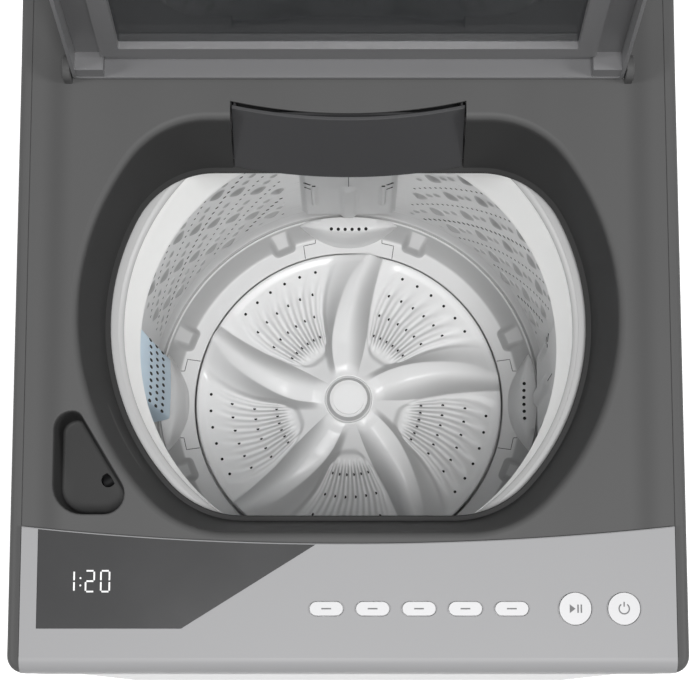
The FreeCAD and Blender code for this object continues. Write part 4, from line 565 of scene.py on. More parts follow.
finishes.update({
    "deck": deckPlastic("deckSatin", deckLook),
    "paint": paintedSteel("bodyPaint", linear(0.4, 0.4, 0.405)),
    "motor": paintedSteel("motorPaint", linear(0.12, 0.12, 0.125), 0.5),
    "window": tintedGlass("smokedWindow", linear(0.12, 0.12, 0.125), 1.0, 0.16, 0.15),
    "pane": tintedGlass("lidPane", linear(0.2, 0.21, 0.22), 0.55),
    # The drum's steel takes painted shade in its pressed drops, half way to a dark grey.
    "steel": brushedSteel("drumSteel", linear(0.93), 26.0, 0.4, 0.5,
                          boxOf("drum_base")[1][0] * mm + 0.0001),
    "shaft": brushedSteel("turnedSteel", linear(0.7, 0.7, 0.71), 40.0, 1.0),
    "zinc": zincSteel("zincSteel", linear(0.62, 0.63, 0.64)),
    "cast": castMetal("castAlloy", linear(0.6, 0.61, 0.62)),
    "rubber": softRubber("rubber", linear(0.09)),
    "board": circuitBoard("boardLacquer"),
})
print("finishes made:", len(finishes))

# Every CAD node that keeps its own mesh takes the finish of what it is made of.
nodeFinishes = {
    "paint": "cabinet_wrap rear_panel",
    "pane": "lid_glass",
    "lidPlastic": "lid_frame",
    "black": "base_frame control_box lid_lock cord_gland pressure_sensor bleach_spout "
             "drain_outlet drain_valve",
    "tub": "outer_tub inlet_valve softener_cap",
    "drawer": "dispenser_housing detergent_drawer",
    "shaft": "spin_shaft drive_shaft spin_bearings lid_pins suspension_rods suspension_springs "
             "panel_screws",
    "zinc": "corner_brackets drive_plate",
    "cast": "drum_flange gearbox_housing drive_pulley motor_pulley",
    "motor": "motor",
    "rubber": "rear_feet front_foot_left front_foot_right lid_bumpers drive_belt inlet_hose "
              "drain_bellows",
    "board": "display_board button_board",
    "button": "power_button start_button option_button_1 option_button_2 option_button_3 "
              "option_button_4 option_button_5",
}
for kind, names in nodeFinishes.items():
    for name in names.split():
        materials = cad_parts[name].data.materials
        materials.clear()
        materials.append(finishes[kind])

view = {"lens": 113.14, "tilt": 9.14, "place": (1.5, -325.0, 2761.0)}
eye = bpy.data.objects.new("camera", bpy.data.cameras.new("camera"))
eye.data.lens = view["lens"]
eye.location = [c * mm for c in view["place"]]
eye.rotation_euler = (math.radians(view["tilt"]), 0, 0)
scene.collection.objects.link(eye)
scene.camera = eye
scene.view_settings.view_transform = "Standard"

# Square soft lights: size, power, place and the point they face; lengths in metres.
lamps = {"keyLight": (1.3, 225.0, (0.3, -1.2, 6.1), (0.0, 0.0, 0.7)),
         "rightLight": (1.5, 200.0, (4.8, -0.8, 4.3), (0.0, 0.0, 0.8)),
         "leftLight": (1.5, 170.0, (-4.8, -0.8, 4.3), (0.0, 0.0, 0.8))}
for name, (size, power, place, aim) in lamps.items():
    light = bpy.data.lights.new(name, "AREA")
    light.shape = "SQUARE"
    light.size = size
    light.energy = power
    lamp = bpy.data.objects.new(name, light)
    lamp.location = place
    lamp.rotation_mode = "QUATERNION"
    lamp.rotation_quaternion = (Vector(aim) - Vector(place)).to_track_quat("-Z", "Y")
    scene.collection.objects.link(lamp)

# A white surrounding that lights the machine only faintly, over a pale floor.
studio = {"sky": 0.15, "floor": 3.0, "glow": 0.45}
world = bpy.data.worlds.new("studio")
scene.world = world
world.use_nodes = True
sky = world.node_tree.nodes["Background"].inputs
sky["Color"].default_value = (1.0, 1.0, 1.0, 1.0)
air = Graph(world.node_tree)
air.feed(sky["Strength"], air.seen() * (1 - studio["sky"]) + studio["sky"])

floorMesh = bpy.data.meshes.new("floor")
corners = np.array([(-1, -1, 0), (1, -1, 0), (1, 1, 0), (-1, 1, 0)]) * studio["floor"]
floorMesh.from_pydata(corners.tolist(), [], [(0, 1, 2, 3)])
floor = bpy.data.objects.new("floor", floorMesh)
scene.collection.objects.link(floor)
pale = Finish("paleFloor")
pale.set(Base_Color=linear(0.9), Roughness=0.9, Emission_Strength=studio["glow"],
         Emission_Color=pale.mix(pale.seen(), linear(0.0), linear(1.0)))
floorMesh.materials.append(pale.material)
print("camera, lights and floor set")

coverLow, coverHigh = boxOf("top_cover")
fasciaLow, fasciaHigh = boxOf("fascia_panel")
windowLow, windowHigh = boxOf("display_window")
drawerLow, drawerHigh = boxOf("drawer_front")
tubRingLow, tubRingHigh = boxOf("tub_cover_ring")
ringLow, ringHigh = boxOf("balance_ring")
wallLow, wallHigh = boxOf("drum_wall")
baseLow, baseHigh = boxOf("drum_base")
coversTop = boxOf("base_covers")[1][2]
channelLow, channelHigh = boxOf("channel_covers")
filterLow, filterHigh = boxOf("lint_filter")
discLow, discHigh = boxOf("pulsator")
halfWidth, rearY, frontY = coverHigh[0], -coverLow[1], coverLow[1]
deckZ = fasciaHigh[2] - 3.0
sideX = fasciaHigh[0] + 0.2      # inner edge of the side trims

cover = {
    "corner": 14.0, "sideRoll": 7.0, "rearRoll": 4.0, "rollChange": (40.0, 5.0), "trim": 10.7,
    "groove": ((0.0, 0.0), (0.25, 0.7), (0.55, 0.7), (0.8, 0.0)),
    "shelfDrop": 43.0, "bow": 14.3, "seam": 0.4, "roll": 6.2, "lipDrop": 62.0, "lipRadius": 210.4,
    "lipFront": 170.5, "lipRear": 139.0, "cornerFront": 90.0, "cornerRear": 80.0, "flare": 16.6,
    "flareFront": 13.5, "flareRear": 27.0, "ledge": 4.5, "shelfRun": 11.0, "notch": 100.7,
    "bayX": 160.0, "bayHalf": 24.0, "bayDrop": 27.0, "bayRise": 22.0, "bayDepth": 20.0,
    "bayHole": 14.5}
fasciaRear = fasciaHigh[1]
lipZ = deckZ - cover["lipDrop"]
bayZ = deckZ - cover["bayDrop"]
bayAcross = np.linspace(cover["bayX"] - cover["bayHalf"], cover["bayX"] + cover["bayHalf"], 7)
acrossTop = np.linspace(-sideX, sideX, 41)
bowRadius = (sideX ** 2 + cover["bow"] ** 2) / (2 * cover["bow"])


def bowLine(x, y):
    # Y of an arc through (+-sideX, y) that bows towards the user by the fascia's bow.
    return y - cover["bow"] + bowRadius - np.sqrt(bowRadius ** 2 - x ** 2)


def openingLine(share, grow, rearStop):
    # Outline of the opening, share 0 at the lip and 1 at the deck: a circle about the drum's axis,
    # cut straight at the front and rear with rounded corners. It runs from rearStop round the
    # front to -rearStop, anticlockwise seen from below.
    radius = cover["lipRadius"] + cover["flare"] * share + grow
    front = cover["lipFront"] + cover["flareFront"] * share + grow
    rear = cover["lipRear"] + cover["flareRear"] * share + grow
    corners = []
    for offset, corner in ((rear, cover["cornerRear"] + grow), (front, cover["cornerFront"] + grow)):
        centreY = offset - corner
        centreX = math.sqrt((radius - corner) ** 2 - centreY ** 2)
        corners.append((centreX, centreY, corner, math.degrees(math.atan2(centreY, centreX))))
    (rearX, rearC, rearR, rearTurn), (frontX, frontC, frontR, frontTurn) = corners
    right = np.vstack([joined(np.linspace(rearStop, rearX, 4)[:-1], rear),
                       arc((rearX, rearC), rearR, 90, rearTurn, 15)[:-1],
                       arc((0, 0), radius, rearTurn, -frontTurn, 44)[:-1],
                       arc((frontX, -frontC), frontR, -frontTurn, -90, 17)[:-1],
                       joined(np.linspace(frontX, 0, 9), -front)])
    return np.vstack([right, right[-2::-1] * (-1, 1)])


def skirtPath(inset):
    # Outer edge of the cover from the front left round the rear to the front right, moved inwards:
    # straights and quarter circles, cut off in front at the side trims' inner edge.
    radius = cover["corner"] - inset
    x, y = halfWidth - cover["corner"], rearY - cover["corner"]
    start = math.degrees(math.acos(min((sideX - x) / radius, 1.0)))
    rear = np.concatenate([np.linspace(-x, bayAcross[0], 8)[1:-1], bayAcross,
                           np.linspace(bayAcross[-1], x, 5)[1:-1]])
    side = np.linspace(-y, y, 9)[1:-1]
    edge = halfWidth - inset
    return np.vstack([arc((-x, -y), radius, 180 + start, 180, 8), joined(-edge, side),
                      arc((-x, y), radius, 180, 90, 8), joined(rear, rearY - inset),
                      arc((x, y), radius, 90, 0, 8), joined(edge, side[::-1]),
                      arc((x, -y), radius, 0, -start, 8)])


def coverSkirt():
    # Grooved side trims, an edge rolled by a quarter circle that is smaller at the rear, and the
    # skirt, less the inlet's bay: rows run outwards and down, columns round the cover.
    rows = [atHeight(skirtPath(cover["trim"] - step), deckZ - drop) for step, drop in cover["groove"]]
    outer = skirtPath(0)
    nearRear = softStep(outer[:, 1], *(rearY - step for step in cover["rollChange"]))
    roll = cover["sideRoll"] + (cover["rearRoll"] - cover["sideRoll"]) * nearRear
    for inward, drop in rolled(7):
        line, insets = np.empty_like(outer), roll * inward
        for inset in np.unique(insets):
            line[insets == inset] = skirtPath(float(inset))[insets == inset]
        rows.append(atHeight(line, deckZ - roll * drop))
    bayTop = np.minimum(bayZ + cover["bayRise"], deckZ - roll - 0.5)
    rows += [atHeight(outer, bayTop + (bayZ - cover["bayRise"] - bayTop) * share)
             for share in np.linspace(0, 1, 6)]
    grid = np.array(rows + [atHeight(outer, coverLow[2])])
    x, y, z = np.moveaxis((grid[:-1, :-1] + grid[1:, 1:]) / 2, -1, 0)
    bay = ((y > rearY - 1) & (abs(x - cover["bayX"]) < cover["bayHalf"])
           & (abs(z - bayZ) < cover["bayRise"]))
    return surface(grid, keep=~bay)


def inletBay():
    # Recess round the water inlet: four walls in from the rear, and a back wall with a round hole.
    zs = np.linspace(bayZ + cover["bayRise"], bayZ - cover["bayRise"], 6)
    loop = np.vstack([joined(bayAcross, zs[0]), joined(bayAcross[-1], zs[1:-1]),
                      joined(bayAcross[::-1], zs[-1]), joined(bayAcross[0], zs[-2:0:-1])])
    back = hoop(loop, (cover["bayX"], bayZ, cover["bayHole"]), 0)[..., :2]
    rows = np.concatenate([loop[None], back])
    depth = np.array([0.0] + [cover["bayDepth"]] * len(back))[:, None]
    return surface(joined(rows[..., 0], rearY - depth, rows[..., 1]), loopCols=True)


def collar():
    # Edge rolled by a quarter circle and straight sloping wall; rows run down from the deck.
    roll, notch = cover["roll"], cover["notch"]
    rows = [atHeight(openingLine(1, roll * inward, notch), deckZ - roll * drop)
            for inward, drop in rolled(8)]
    rows += [atHeight(openingLine(share, 0, notch), lipZ + (deckZ - roll - lipZ) * share)
             for share in (0.8, 0.6, 0.4, 0.2, 0.05, 0.0)]
    return surface(np.array(rows))


def collarLip():
    # A level lip with a turned down edge runs all round; at the rear it reaches back under the
    # drawer's foot.
    ledge, soft, depth = cover["ledge"], 0.8, 2.4
    shelf = openingLine(0, 0, 0.0)[:-1]
    rear = (shelf[:, 1] > cover["lipRear"] - 0.01) & (abs(shelf[:, 0]) < cover["notch"] + 20)
    shelf[rear, 1] += cover["shelfRun"]
    rows = [atHeight(shelf, lipZ)]
    rows += [atHeight(openingLine(0, -inward, 0.0)[:-1], lipZ - drop) for inward, drop in
             ((0, 0), (ledge - soft, 0), (ledge, soft), (ledge, depth))]
    return surface(np.array(rows), loopCols=True)


cup = {"corners": [(-245, -84, 15), (-224.2, -84, 9), (-172.2, -170, 17), (-245, -170, 25)],
       "roll": 1.4, "depth": 40.0, "taper": 6.0, "foot": 3.0, "hole": (-203.0, -138.0, 6.0)}


def bleachCup():
    # Rim rolled by a quarter circle, tapered walls with a rounded foot, and a floor with its drain
    # hole.
    low, roll, foot = deckZ - cup["depth"], cup["roll"], cup["foot"]
    rows = [atHeight(roundedOutline(cup["corners"], roll * inward), deckZ - roll * drop)
            for inward, drop in rolled(4)]
    rows += [atHeight(roundedOutline(cup["corners"], foot - cup["taper"] - foot * drop),
                      low + foot * inward) for inward, drop in rolled(5)]
    floorRows = hoop(rows[-1][:, :2], cup["hole"], low)
    return surface(np.concatenate([np.array(rows), floorRows[1:]]), loopCols=True)


drawer = {"slope": 0.62, "bow": 510.0, "thick": 3.0, "gap": 0.5}


def drawerLine(x, z, back):
    # Y of the drawer's bowed front: a circle about an upright axis, smaller with height and by
    # what the line stands back.
    radius = drawer["bow"] - (z - drawerLow[2]) * drawer["slope"] - back
    return drawerLow[1] + drawer["bow"] - np.sqrt(radius ** 2 - x ** 2)


def deckPlate():
    # Flat deck between the side trims, less the opening, the drawer's notch and the cup.
    x, y = halfWidth - cover["corner"], rearY - cover["corner"]
    radius = cover["corner"] - cover["trim"]
    edge = joined(acrossTop, bowLine(acrossTop, fasciaRear + cover["seam"]))
    outline = np.vstack([edge, arc((x, y), radius, 0, 90, 8), arc((-x, y), radius, 90, 180, 8)])
    notchX = np.linspace(-cover["notch"], cover["notch"], 21)
    notch = joined(notchX, drawerLine(notchX, deckZ, drawer["thick"] + drawer["gap"]))
    mouth = np.vstack([openingLine(1, cover["roll"], cover["notch"]), notch])
    return plate(outline, [mouth, roundedOutline(cup["corners"], cup["roll"])], deckZ)


def fasciaPocket():
    # Step down behind the fascia, the shelf under it and the low front of the skirt.
    shelfZ = deckZ - cover["shelfDrop"]
    rear = bowLine(acrossTop, fasciaRear + cover["seam"])
    front = frontY + cover["seam"] * (abs(acrossTop) > halfWidth - cover["corner"])
    rows = [(rear, deckZ), (rear, shelfZ), ((rear + front) / 2, shelfZ), (front, shelfZ),
            (front, coverLow[2])]
    return surface(np.array([joined(acrossTop, y, z) for y, z in rows]))


lug = {"radius": 11.0, "pinRadius": 4.0, "gap": 1.0, "sink": 2.0, "thick": 7.0, "soft": (0.8, 1.0)}


def hingeLug(side):
    # Upright cheek with a half round top that holds a hinge pin; its outline shrinks at both faces.
    radius, (run, shrink) = lug["radius"], lug["soft"]
    middle = np.array([boxOf("lid_pins")[0][1] + lug["pinRadius"], coverHigh[2] - radius])
    outline = np.vstack([[middle[0] - radius, deckZ - lug["sink"]],
                         [middle[0] + radius, deckZ - lug["sink"]], arc(middle, radius, 0, 180, 17)])
    sections = []
    for x, less in ((0, shrink), (run, 0.0), (lug["thick"] - run, 0.0), (lug["thick"], shrink)):
        y, z = (middle + (outline - middle) * (1 - less / radius)).T
        sections.append(joined(side * (boxOf("lid_frame")[1][0] + lug["gap"] + x), y, z))
    return tube(np.array(sections))


piece("topDeck", [deckPlate(), coverSkirt(), inletBay(), collar(), collarLip(), bleachCup(),
                  fasciaPocket()],
      "cabinet", "deck", ["top_cover"], shell=2.4, upward=True, even=True)
piece("hingeLugs", [hingeLug(-1), hingeLug(1)], "cabinet", "deck")
print("top cover made")


def drawerFace():
    # Bowed front that leans back: every level row is an arc, smaller with height.
    x, z = np.meshgrid(crowded(41) * drawerHigh[0], np.linspace(drawerLow[2], drawerHigh[2], 13))
    grid = joined(x, drawerLine(x, z, 0.0), z)
    return slab(grid, grid + (0, drawer["thick"], 0))


piece("drawerFace", drawerFace(), "drawer", "drawer", ["drawer_front"], bevel=0.8)
print("drawer made")

panel = {"roll": 12.0, "rearRoll": 1.2, "windowRear": 1.4, "windowFront": 36.0, "slant": 1.6,
         "gap": 0.8, "windowGap": 0.15, "pane": 2.5, "ground": 0.25, "groundShare": 0.998,
         "flange": 2.0}
flange = np.array([panel["flange"], panel["flange"], 0.0])
buttonHeads = {name: (boxOf(name)[0] + flange, boxOf(name)[1] - flange)
               for name in nodeFinishes["button"].split()}


def windowLine(grow):
    # The dark window: along the fascia's rear edge, ending in a slant on the right.
    near = frontY + panel["windowFront"] - grow
    left, right = windowLow[0] - grow, windowHigh[0] + grow
    across = np.linspace(left, right, 25)
    rear = bowLine(across, fasciaRear - panel["windowRear"] + grow)
    foot = right - panel["slant"] * (rear[-1] - near)
    return np.vstack([joined(across, rear), [[foot, near]], [[left, near]]])


def buttonLine(low, high, grow):
    # Outline about a button's box: two half circles and the straights between them. In a round
    # button the half circles meet, and the last point is the first again.
    middle = (low + high) / 2
    end = (high[1] - low[1]) / 2
    reach = (high[0] - low[0]) / 2 - end
    line = np.vstack([arc((middle[0] + reach, middle[1]), end + grow, 90, -90, 17),
                      arc((middle[0] - reach, middle[1]), end + grow, 270, 90, 17)])
    return line[:-1] if reach < 1 else line


def fasciaShell():
    # Front rolled by a quarter circle, rear wall along the bow, two flat ends, and a flat top with
    # openings for the window and the buttons.
    across = np.linspace(-fasciaHigh[0], fasciaHigh[0], 49)
    top, foot = fasciaHigh[2], fasciaLow[2]
    rear = bowLine(across, fasciaRear)
    front = [joined(across, frontY, foot)]
    front += [joined(across, frontY + panel["roll"] * drop, top - panel["roll"] * inward)
              for inward, drop in rolled(9)]
    back = [joined(across, rear - panel["rearRoll"] * inward, top - panel["rearRoll"] * drop)
            for inward, drop in rolled(5)] + [joined(across, rear, foot)]
    edges = [np.vstack([np.array(front)[:, end], np.array(back)[:, end]]) for end in (0, -1)]
    outline = np.vstack([front[-1][:, :2], back[0][::-1, :2]])
    holes = [windowLine(panel["windowGap"])] + [buttonLine(low, high, panel["gap"])
                                                for low, high in buttonHeads.values()]
    return [surface(np.array(front)), surface(np.array(back)),
            *((edge, [list(range(len(edge)))]) for edge in edges), plate(outline, holes, top)]


def windowPane():
    # Glass slab with a fine ground edge: its upper outline is drawn in towards its middle.
    line, top = windowLine(0.0), fasciaHigh[2]
    middle = line.mean(0)
    upper = middle + (line - middle) * panel["groundShare"]
    sections = [atHeight(upper, top), atHeight(line, top - panel["ground"]),
                atHeight(line, top - panel["pane"])]
    return [plate(upper, [], top), surface(np.array(sections), loopCols=True),
            plate(line, [], top - panel["pane"])]


def ribbon(points, width, z, thick):
    # Thin flat bar that follows a line of points: four corners beside every point.
    line = np.asarray(points, float)
    along = unit(np.gradient(line, axis=0))
    side = joined(-along[:, 1], along[:, 0]) * width / 2
    corners = ((side, 0), (-side, 0), (-side, thick), (side, thick))
    return tube(np.stack([atHeight(line + step, z - drop) for step, drop in corners], 1))


digits = {"size": (7.0, 8.5), "start": (-232.0, -234.0), "step": 12.5, "colonRun": 4.0,
          "width": 1.3, "fill": 0.82, "colon": (12.2, (5, 11)), "dot": 0.8,
          "lit": ("bc", "abged", "abcdef")}
segments = {"a": ((0, 2), (1, 2)), "b": ((1, 2), (1, 1)), "c": ((1, 1), (1, 0)),
            "d": ((0, 0), (1, 0)), "e": ((0, 1), (0, 0)), "f": ((0, 2), (0, 1)),
            "g": ((0, 1), (1, 1))}


def displayNumbers():
    # A plain time in bar segments on the pane: each bar is shortened about its middle.
    bars, (x, y), top = [], digits["start"], fasciaHigh[2]
    for i, lit in enumerate(digits["lit"]):
        left = x + i * digits["step"] + digits["colonRun"] * (i > 0)
        for letter in lit:
            ends = np.array(segments[letter], float) * digits["size"] + (left, y)
            middle = ends.mean(0)
            bars.append(ribbon(middle + (ends - middle) * digits["fill"], digits["width"],
                               top + 0.06, 0.1))
    run, rises = digits["colon"]
    dots = np.array([(x + run, y + rise, top + 0.03) for rise in rises])
    return bars + [copied(plug(digits["dot"], 0.05, 12), dots)]


signLook = {"lift": 0.08, "thick": 0.14, "fine": 1.1, "bold": 1.2, "ring": (4.2, 125, 415),
            "stem": (1.6, 5.6), "arrow": ((-4.6, -3.6), (0.2, 0.0), (-4.6, 3.6)),
            "bars": (2.2, 4.9), "barHalf": 3.4, "dashHalf": 4.0}


def buttonSign(name, low, high):
    # Generic sign lying on a button's head: power, start and pause, or a short bar.
    middle, top = (low + high)[:2] / 2, high[2] + signLook["lift"]

    def line(points, width):
        return ribbon(middle + np.array(points), width, top, signLook["thick"])

    if name == "power_button":
        return [line(arc((0, 0), *signLook["ring"], 29), signLook["fine"]),
                line([(0, y) for y in signLook["stem"]], signLook["fine"])]
    if name == "start_button":
        reach = signLook["barHalf"]
        return [plate(middle + np.array(signLook["arrow"]), [], top),
                *(line([(x, -reach), (x, reach)], signLook["bold"]) for x in signLook["bars"])]
    return [line([(-signLook["dashHalf"], 0), (signLook["dashHalf"], 0)], signLook["bold"])]


piece("fasciaShell", fasciaShell(), "cabinet", "silver", ["fascia_panel"],
      shell=2.4, upward=True, even=True)
piece("windowPane", windowPane(), "cabinet", "window", ["display_window"],
      even=True)
piece("displayNumbers", displayNumbers(), "cabinet", "mark")
for name, (low, high) in buttonHeads.items():
    signName = name.replace("_button", "Sign").replace("_", "")
    piece(signName, buttonSign(name, low, high), name, "sign")
print("fascia made")

tubBead = {"inner": 30.1, "edge": 1.5, "place": 201.5, "width": 1.0, "rise": -0.7,
           "nose": (13.0, 7.0), "under": 1.2, "foot": 10.0, "wall": 2.5}


def tubRing():
    # Profile of the tub's cover: skirt, broad top with a fine bead, a nose rolled by a quarter
    # ellipse, and the underside.
    outer, inner = tubRingHigh[0], ringHigh[0] - tubBead["inner"]
    top, low = tubRingHigh[2], tubRingLow[2]
    place, width, edge = tubBead["place"], tubBead["width"], tubBead["edge"]
    run, fall = tubBead["nose"]
    under, foot, wallX = top - fall - tubBead["under"], low + tubBead["foot"], outer - tubBead["wall"]
    turn = np.radians(np.linspace(10, 170, 7))
    return turned(np.vstack([
        [(outer, low), (outer, top - edge), (outer - edge, top), (place + width, top)],
        joined(place + width * np.cos(turn), top + tubBead["rise"] * np.sin(turn)),
        [(inner + run * inward, top - fall * drop) for inward, drop in rolled(12)],
        [(inner + 0.6, under), (outer - 14, under), (outer - 10, foot), (wallX, foot),
         (wallX, low)]]), 192)


rings = {"lean": 5.4, "width": 29.0, "edge": 4.0, "round": 6.0, "foot": 5.0}


def balanceRing():
    # Rounded head, inner wall leaning in towards the bottom, rounded foot and upright outer wall.
    outer, top, low = ringHigh[0], ringHigh[2], ringLow[2]
    edge, head, toe = rings["edge"], rings["round"], rings["foot"]
    inner = outer - rings["width"]
    foot = inner - rings["lean"]
    share = np.linspace(0.15, 0.88, 7)
    return turned(np.vstack([
        [(outer, low + edge), (outer, top - edge)], arc((outer - edge, top - edge), edge, 0, 90, 5),
        arc((inner + head, top - head), head, 90, 175, 10),
        joined(inner + (foot - inner) * share, top + (low - top) * share),
        arc((foot + toe, low + toe), toe, 180, 270, 8), [(outer - edge, low)]]), 192)


piece("tubRing", [tubRing()], "tub_unit", "tubRing", ["tub_cover_ring"])
piece("balanceRing", [balanceRing()], "drum", "white", ["balance_ring"])
print("rings made")

wall = {"rowTurn": 59.3, "rowGap": 37.75, "rowPhase": 425.7, "rows": (-12, 16), "rowRun": 900.0,
        "dotPitch": 10.65, "dot": 1.5, "darkDot": 2.1, "dotDepth": 0.12, "zone": 26.5,
        "foot": 408.0, "head": 752.0, "period": 65.5, "start": 348.7, "shift": 20.9, "lane": 0.57,
        "rise": 3.8, "power": 1.3,
        # Place along the lane, half width and half length of each drop.
        "drops": ((0.0, 10.4, 10.4), (-29.0, 5.2, 7.0), (-45.0, 5.2, 7.0))}
drumRadius = baseHigh[0] + 0.1
# Unit steps along the rows of holes and across them, on the unrolled wall (arc, height).
rowTurn = math.radians(wall["rowTurn"])
along = np.array([-math.cos(rowTurn), math.sin(rowTurn)])
across = np.array([math.sin(rowTurn), math.cos(rowTurn)])


def wallRise(turn, z):
    # Pressed drops in every lane between two rows of holes, a large one and then two small ones:
    # each rises as 1 less the squared distance from its middle, to a power.
    arcs = np.radians(turn % 90) * drumRadius
    lanes = (arcs * across[0] + z * across[1] - wall["rowPhase"]) / wall["rowGap"]
    lane = np.floor(lanes)
    side = (lanes - lane - wall["lane"]) * wall["rowGap"]
    ahead = arcs * along[0] + z * along[1] - wall["start"] - wall["shift"] * lane
    rise = np.zeros_like(ahead)
    for place, halfSide, halfLength in wall["drops"]:
        step = (ahead - place + wall["period"] / 2) % wall["period"] - wall["period"] / 2
        reach = (side / halfSide) ** 2 + (step / halfLength) ** 2
        height = wall["rise"] * halfSide / wall["drops"][0][1]
        rise = np.maximum(rise, height * np.clip(1 - reach, 0, 1) ** wall["power"])
    zone = softStep(wall["zone"] - abs(turn % 90 - 45), -1.0, 1.5)
    return rise * zone * softStep(z, wall["foot"], wall["foot"] + 8)


def drumWall():
    # Inner face at the drum's radius less its pressed drops, and a plain round outer face.
    turn = np.linspace(0, 360, 576, endpoint=False)
    z = np.concatenate([[wallLow[2]], np.linspace(wall["foot"] - 8, wallHigh[2], 142)])[:, None]
    inner = polar(drumRadius - wallRise(turn, z), np.radians(turn), z)
    outer = polar(wallHigh[0], np.radians(turn), np.array([[wallHigh[2]], [wallLow[2]]]))
    return surface(np.concatenate([inner, outer]), True, True)


def wallHoles(dark):
    # Small holes at an even pitch along the helical rows of each quarter, as dark plugs on the wall:
    # painted shade in place of openings; every third row is larger and darker.
    steps = np.arange(0, wall["rowRun"], wall["dotPitch"])[:, None]
    spots = np.vstack([(wall["rowPhase"] + row * wall["rowGap"]) * across + steps * along
                       for row in range(*wall["rows"]) if (row % 3 == 0) == dark])
    turns, heights = np.degrees(spots[:, 0] / drumRadius), spots[:, 1]
    keep = (abs(turns - 45) < wall["zone"]) & (heights > wall["foot"]) & (heights < wall["head"])
    turns = np.radians(np.concatenate([turns[keep] + 90 * q for q in range(4)]))
    outward, level = polar(1.0, turns, 0.0), joined(-np.sin(turns), np.cos(turns), 0.0)
    upright = np.broadcast_to([0.0, 0.0, 1.0], level.shape)
    shape = plug(wall["darkDot"] if dark else wall["dot"], wall["dotDepth"], 8)
    return copied(shape, polar(drumRadius - 0.02, turns, np.tile(heights[keep], 4)),
                  np.stack([level, upright, -outward], 1))


piece("drumWall", [drumWall()], "drum", "steel", ["drum_wall"], sharp=60)
piece("drumWallHoles", [wallHoles(False), wallHoles(True)], "drum", "hole")
print("drum wall made")

floorLook = {"well": 168.9, "flatDrop": 7.0, "slopeIn": 186.5, "slopeOut": 205.6,
             "slopePower": 1.5, "rimRise": 5.0, "wellDrop": 37.0, "bore": 35.0,
             # Place, width and rise of the bead and the groove at the wall's foot.
             "beads": ((207.2, 0.9, 1.3), (209.2, 0.8, -1.0)), "cove": 209.8, "covePower": 2.2,
             "bossTurn": 22.5, "bossIn": 184.0, "bossOut": 206.3, "bossHalf": 11.5,
             "bossTaper": 0.08, "bossDrop": 0.6, "bossFall": 0.3, "soft": 7.0}
rimZ = discLow[2] + 16.0          # rim of the pulsator, where its dish begins
flatZ = rimZ - floorLook["flatDrop"]
edgeZ = rimZ + floorLook["rimRise"]


def floorHeight(radius, turn):
    # Flat ring, a slope that steepens outwards, a bead, a groove and a cove at the wall's foot,
    # and eight soft-edged blocks across the slope.
    slopeOut, soft = floorLook["slopeOut"], floorLook["soft"]
    slope = between(radius, floorLook["slopeIn"], slopeOut) ** floorLook["slopePower"]
    cove = between(radius, floorLook["cove"], baseHigh[0]) ** floorLook["covePower"]
    z = flatZ + (edgeZ - flatZ) * slope + (baseHigh[2] - edgeZ) * cove
    for place, width, rise in floorLook["beads"]:
        z = z + rise * np.exp(-((radius - place) / width) ** 2)
    local = abs((turn + 45) % 90 - 45) - floorLook["bossTurn"]
    offset = abs(radius * np.sin(np.radians(local)))
    half = floorLook["bossHalf"] - floorLook["bossTaper"] * (slopeOut - radius)
    mask = softStep(half + soft * 0.5 - offset, 0, soft) * (radius < floorLook["bossOut"])
    mask = mask * softStep(radius, floorLook["bossIn"] - 4, floorLook["bossIn"] + 4)
    block = edgeZ - floorLook["bossDrop"] - floorLook["bossFall"] * (slopeOut - radius)
    return z + np.maximum(block - z, 0) * mask


def drumFloor():
    # Rows run from the shaft's bore up the well, across the floor to the wall and back under.
    well, bore, outer = floorLook["well"], floorLook["bore"], baseHigh[0]
    turn = np.linspace(0, 360, 720, endpoint=False)
    radii = np.concatenate([[bore, well, well, well + 0.2, well + 1.0],
                            np.linspace(well + 2, outer - 0.1, 78), [outer, outer, bore]])[:, None]
    z = floorHeight(radii, turn)
    z[:2] = rimZ - floorLook["wellDrop"]
    z[2], z[3] = flatZ - 1.0, flatZ - 0.3
    z[-3] = baseHigh[2] - 0.5
    z[-2:] = baseLow[2]
    return surface(polar(radii, np.radians(turn), z), True, True)


fan = {"turn": 15.2, "foot": 174.9, "edge": 190.0, "outer": 204.6, "power": 2.3, "sink": 0.8,
       "hole": 1.9, "holePitch": 7.6, "holes": 6, "holeBow": 700.0}


def fanCover(quarter):
    # Crescent cover: its front wall bows towards the pulsator in an S curve and dies out at both
    # ends by a power of the way there.
    share = crowded(61)
    closing = abs(share) ** fan["power"]
    outer = fan["outer"]
    foot = fan["foot"] + (outer - 1.0 - fan["foot"]) * closing
    edge = fan["edge"] + (outer - 0.6 - fan["edge"]) * closing
    ground = flatZ + (edgeZ - flatZ) * softStep(foot, floorLook["slopeIn"], floorLook["slopeOut"])
    top = coversTop - (coversTop - edgeZ - 0.8) * abs(share) ** 6
    rows = [(foot, ground - fan["sink"])]
    for step in np.linspace(0, 1, 9):
        bend = (0.5 - 0.5 * math.cos(math.pi * step)) ** 0.8
        rows.append((foot + (edge - foot) * step, ground + (top - ground) * bend))
    rows += [(edge + (outer - edge) * 0.35, top), (outer - 0.5, top), (outer, top - 0.6),
             (outer, ground - fan["sink"])]
    turn = np.radians(90 * quarter + share * fan["turn"])
    return tube(np.stack([polar(radius, turn, z) for radius, z in rows], 1))


def fanHoles(quarter):
    # A slightly bowed row of small drain holes along a cover's upper edge, as dark plugs: painted
    # shade in place of openings.
    along = (np.arange(fan["holes"]) - (fan["holes"] - 1) / 2) * fan["holePitch"]
    places = joined(fan["edge"] + 0.4 + along ** 2 / fan["holeBow"], along, coversTop - 0.05)
    return copied(plug(fan["hole"], 0.25, 10), spun(places, 90 * quarter))


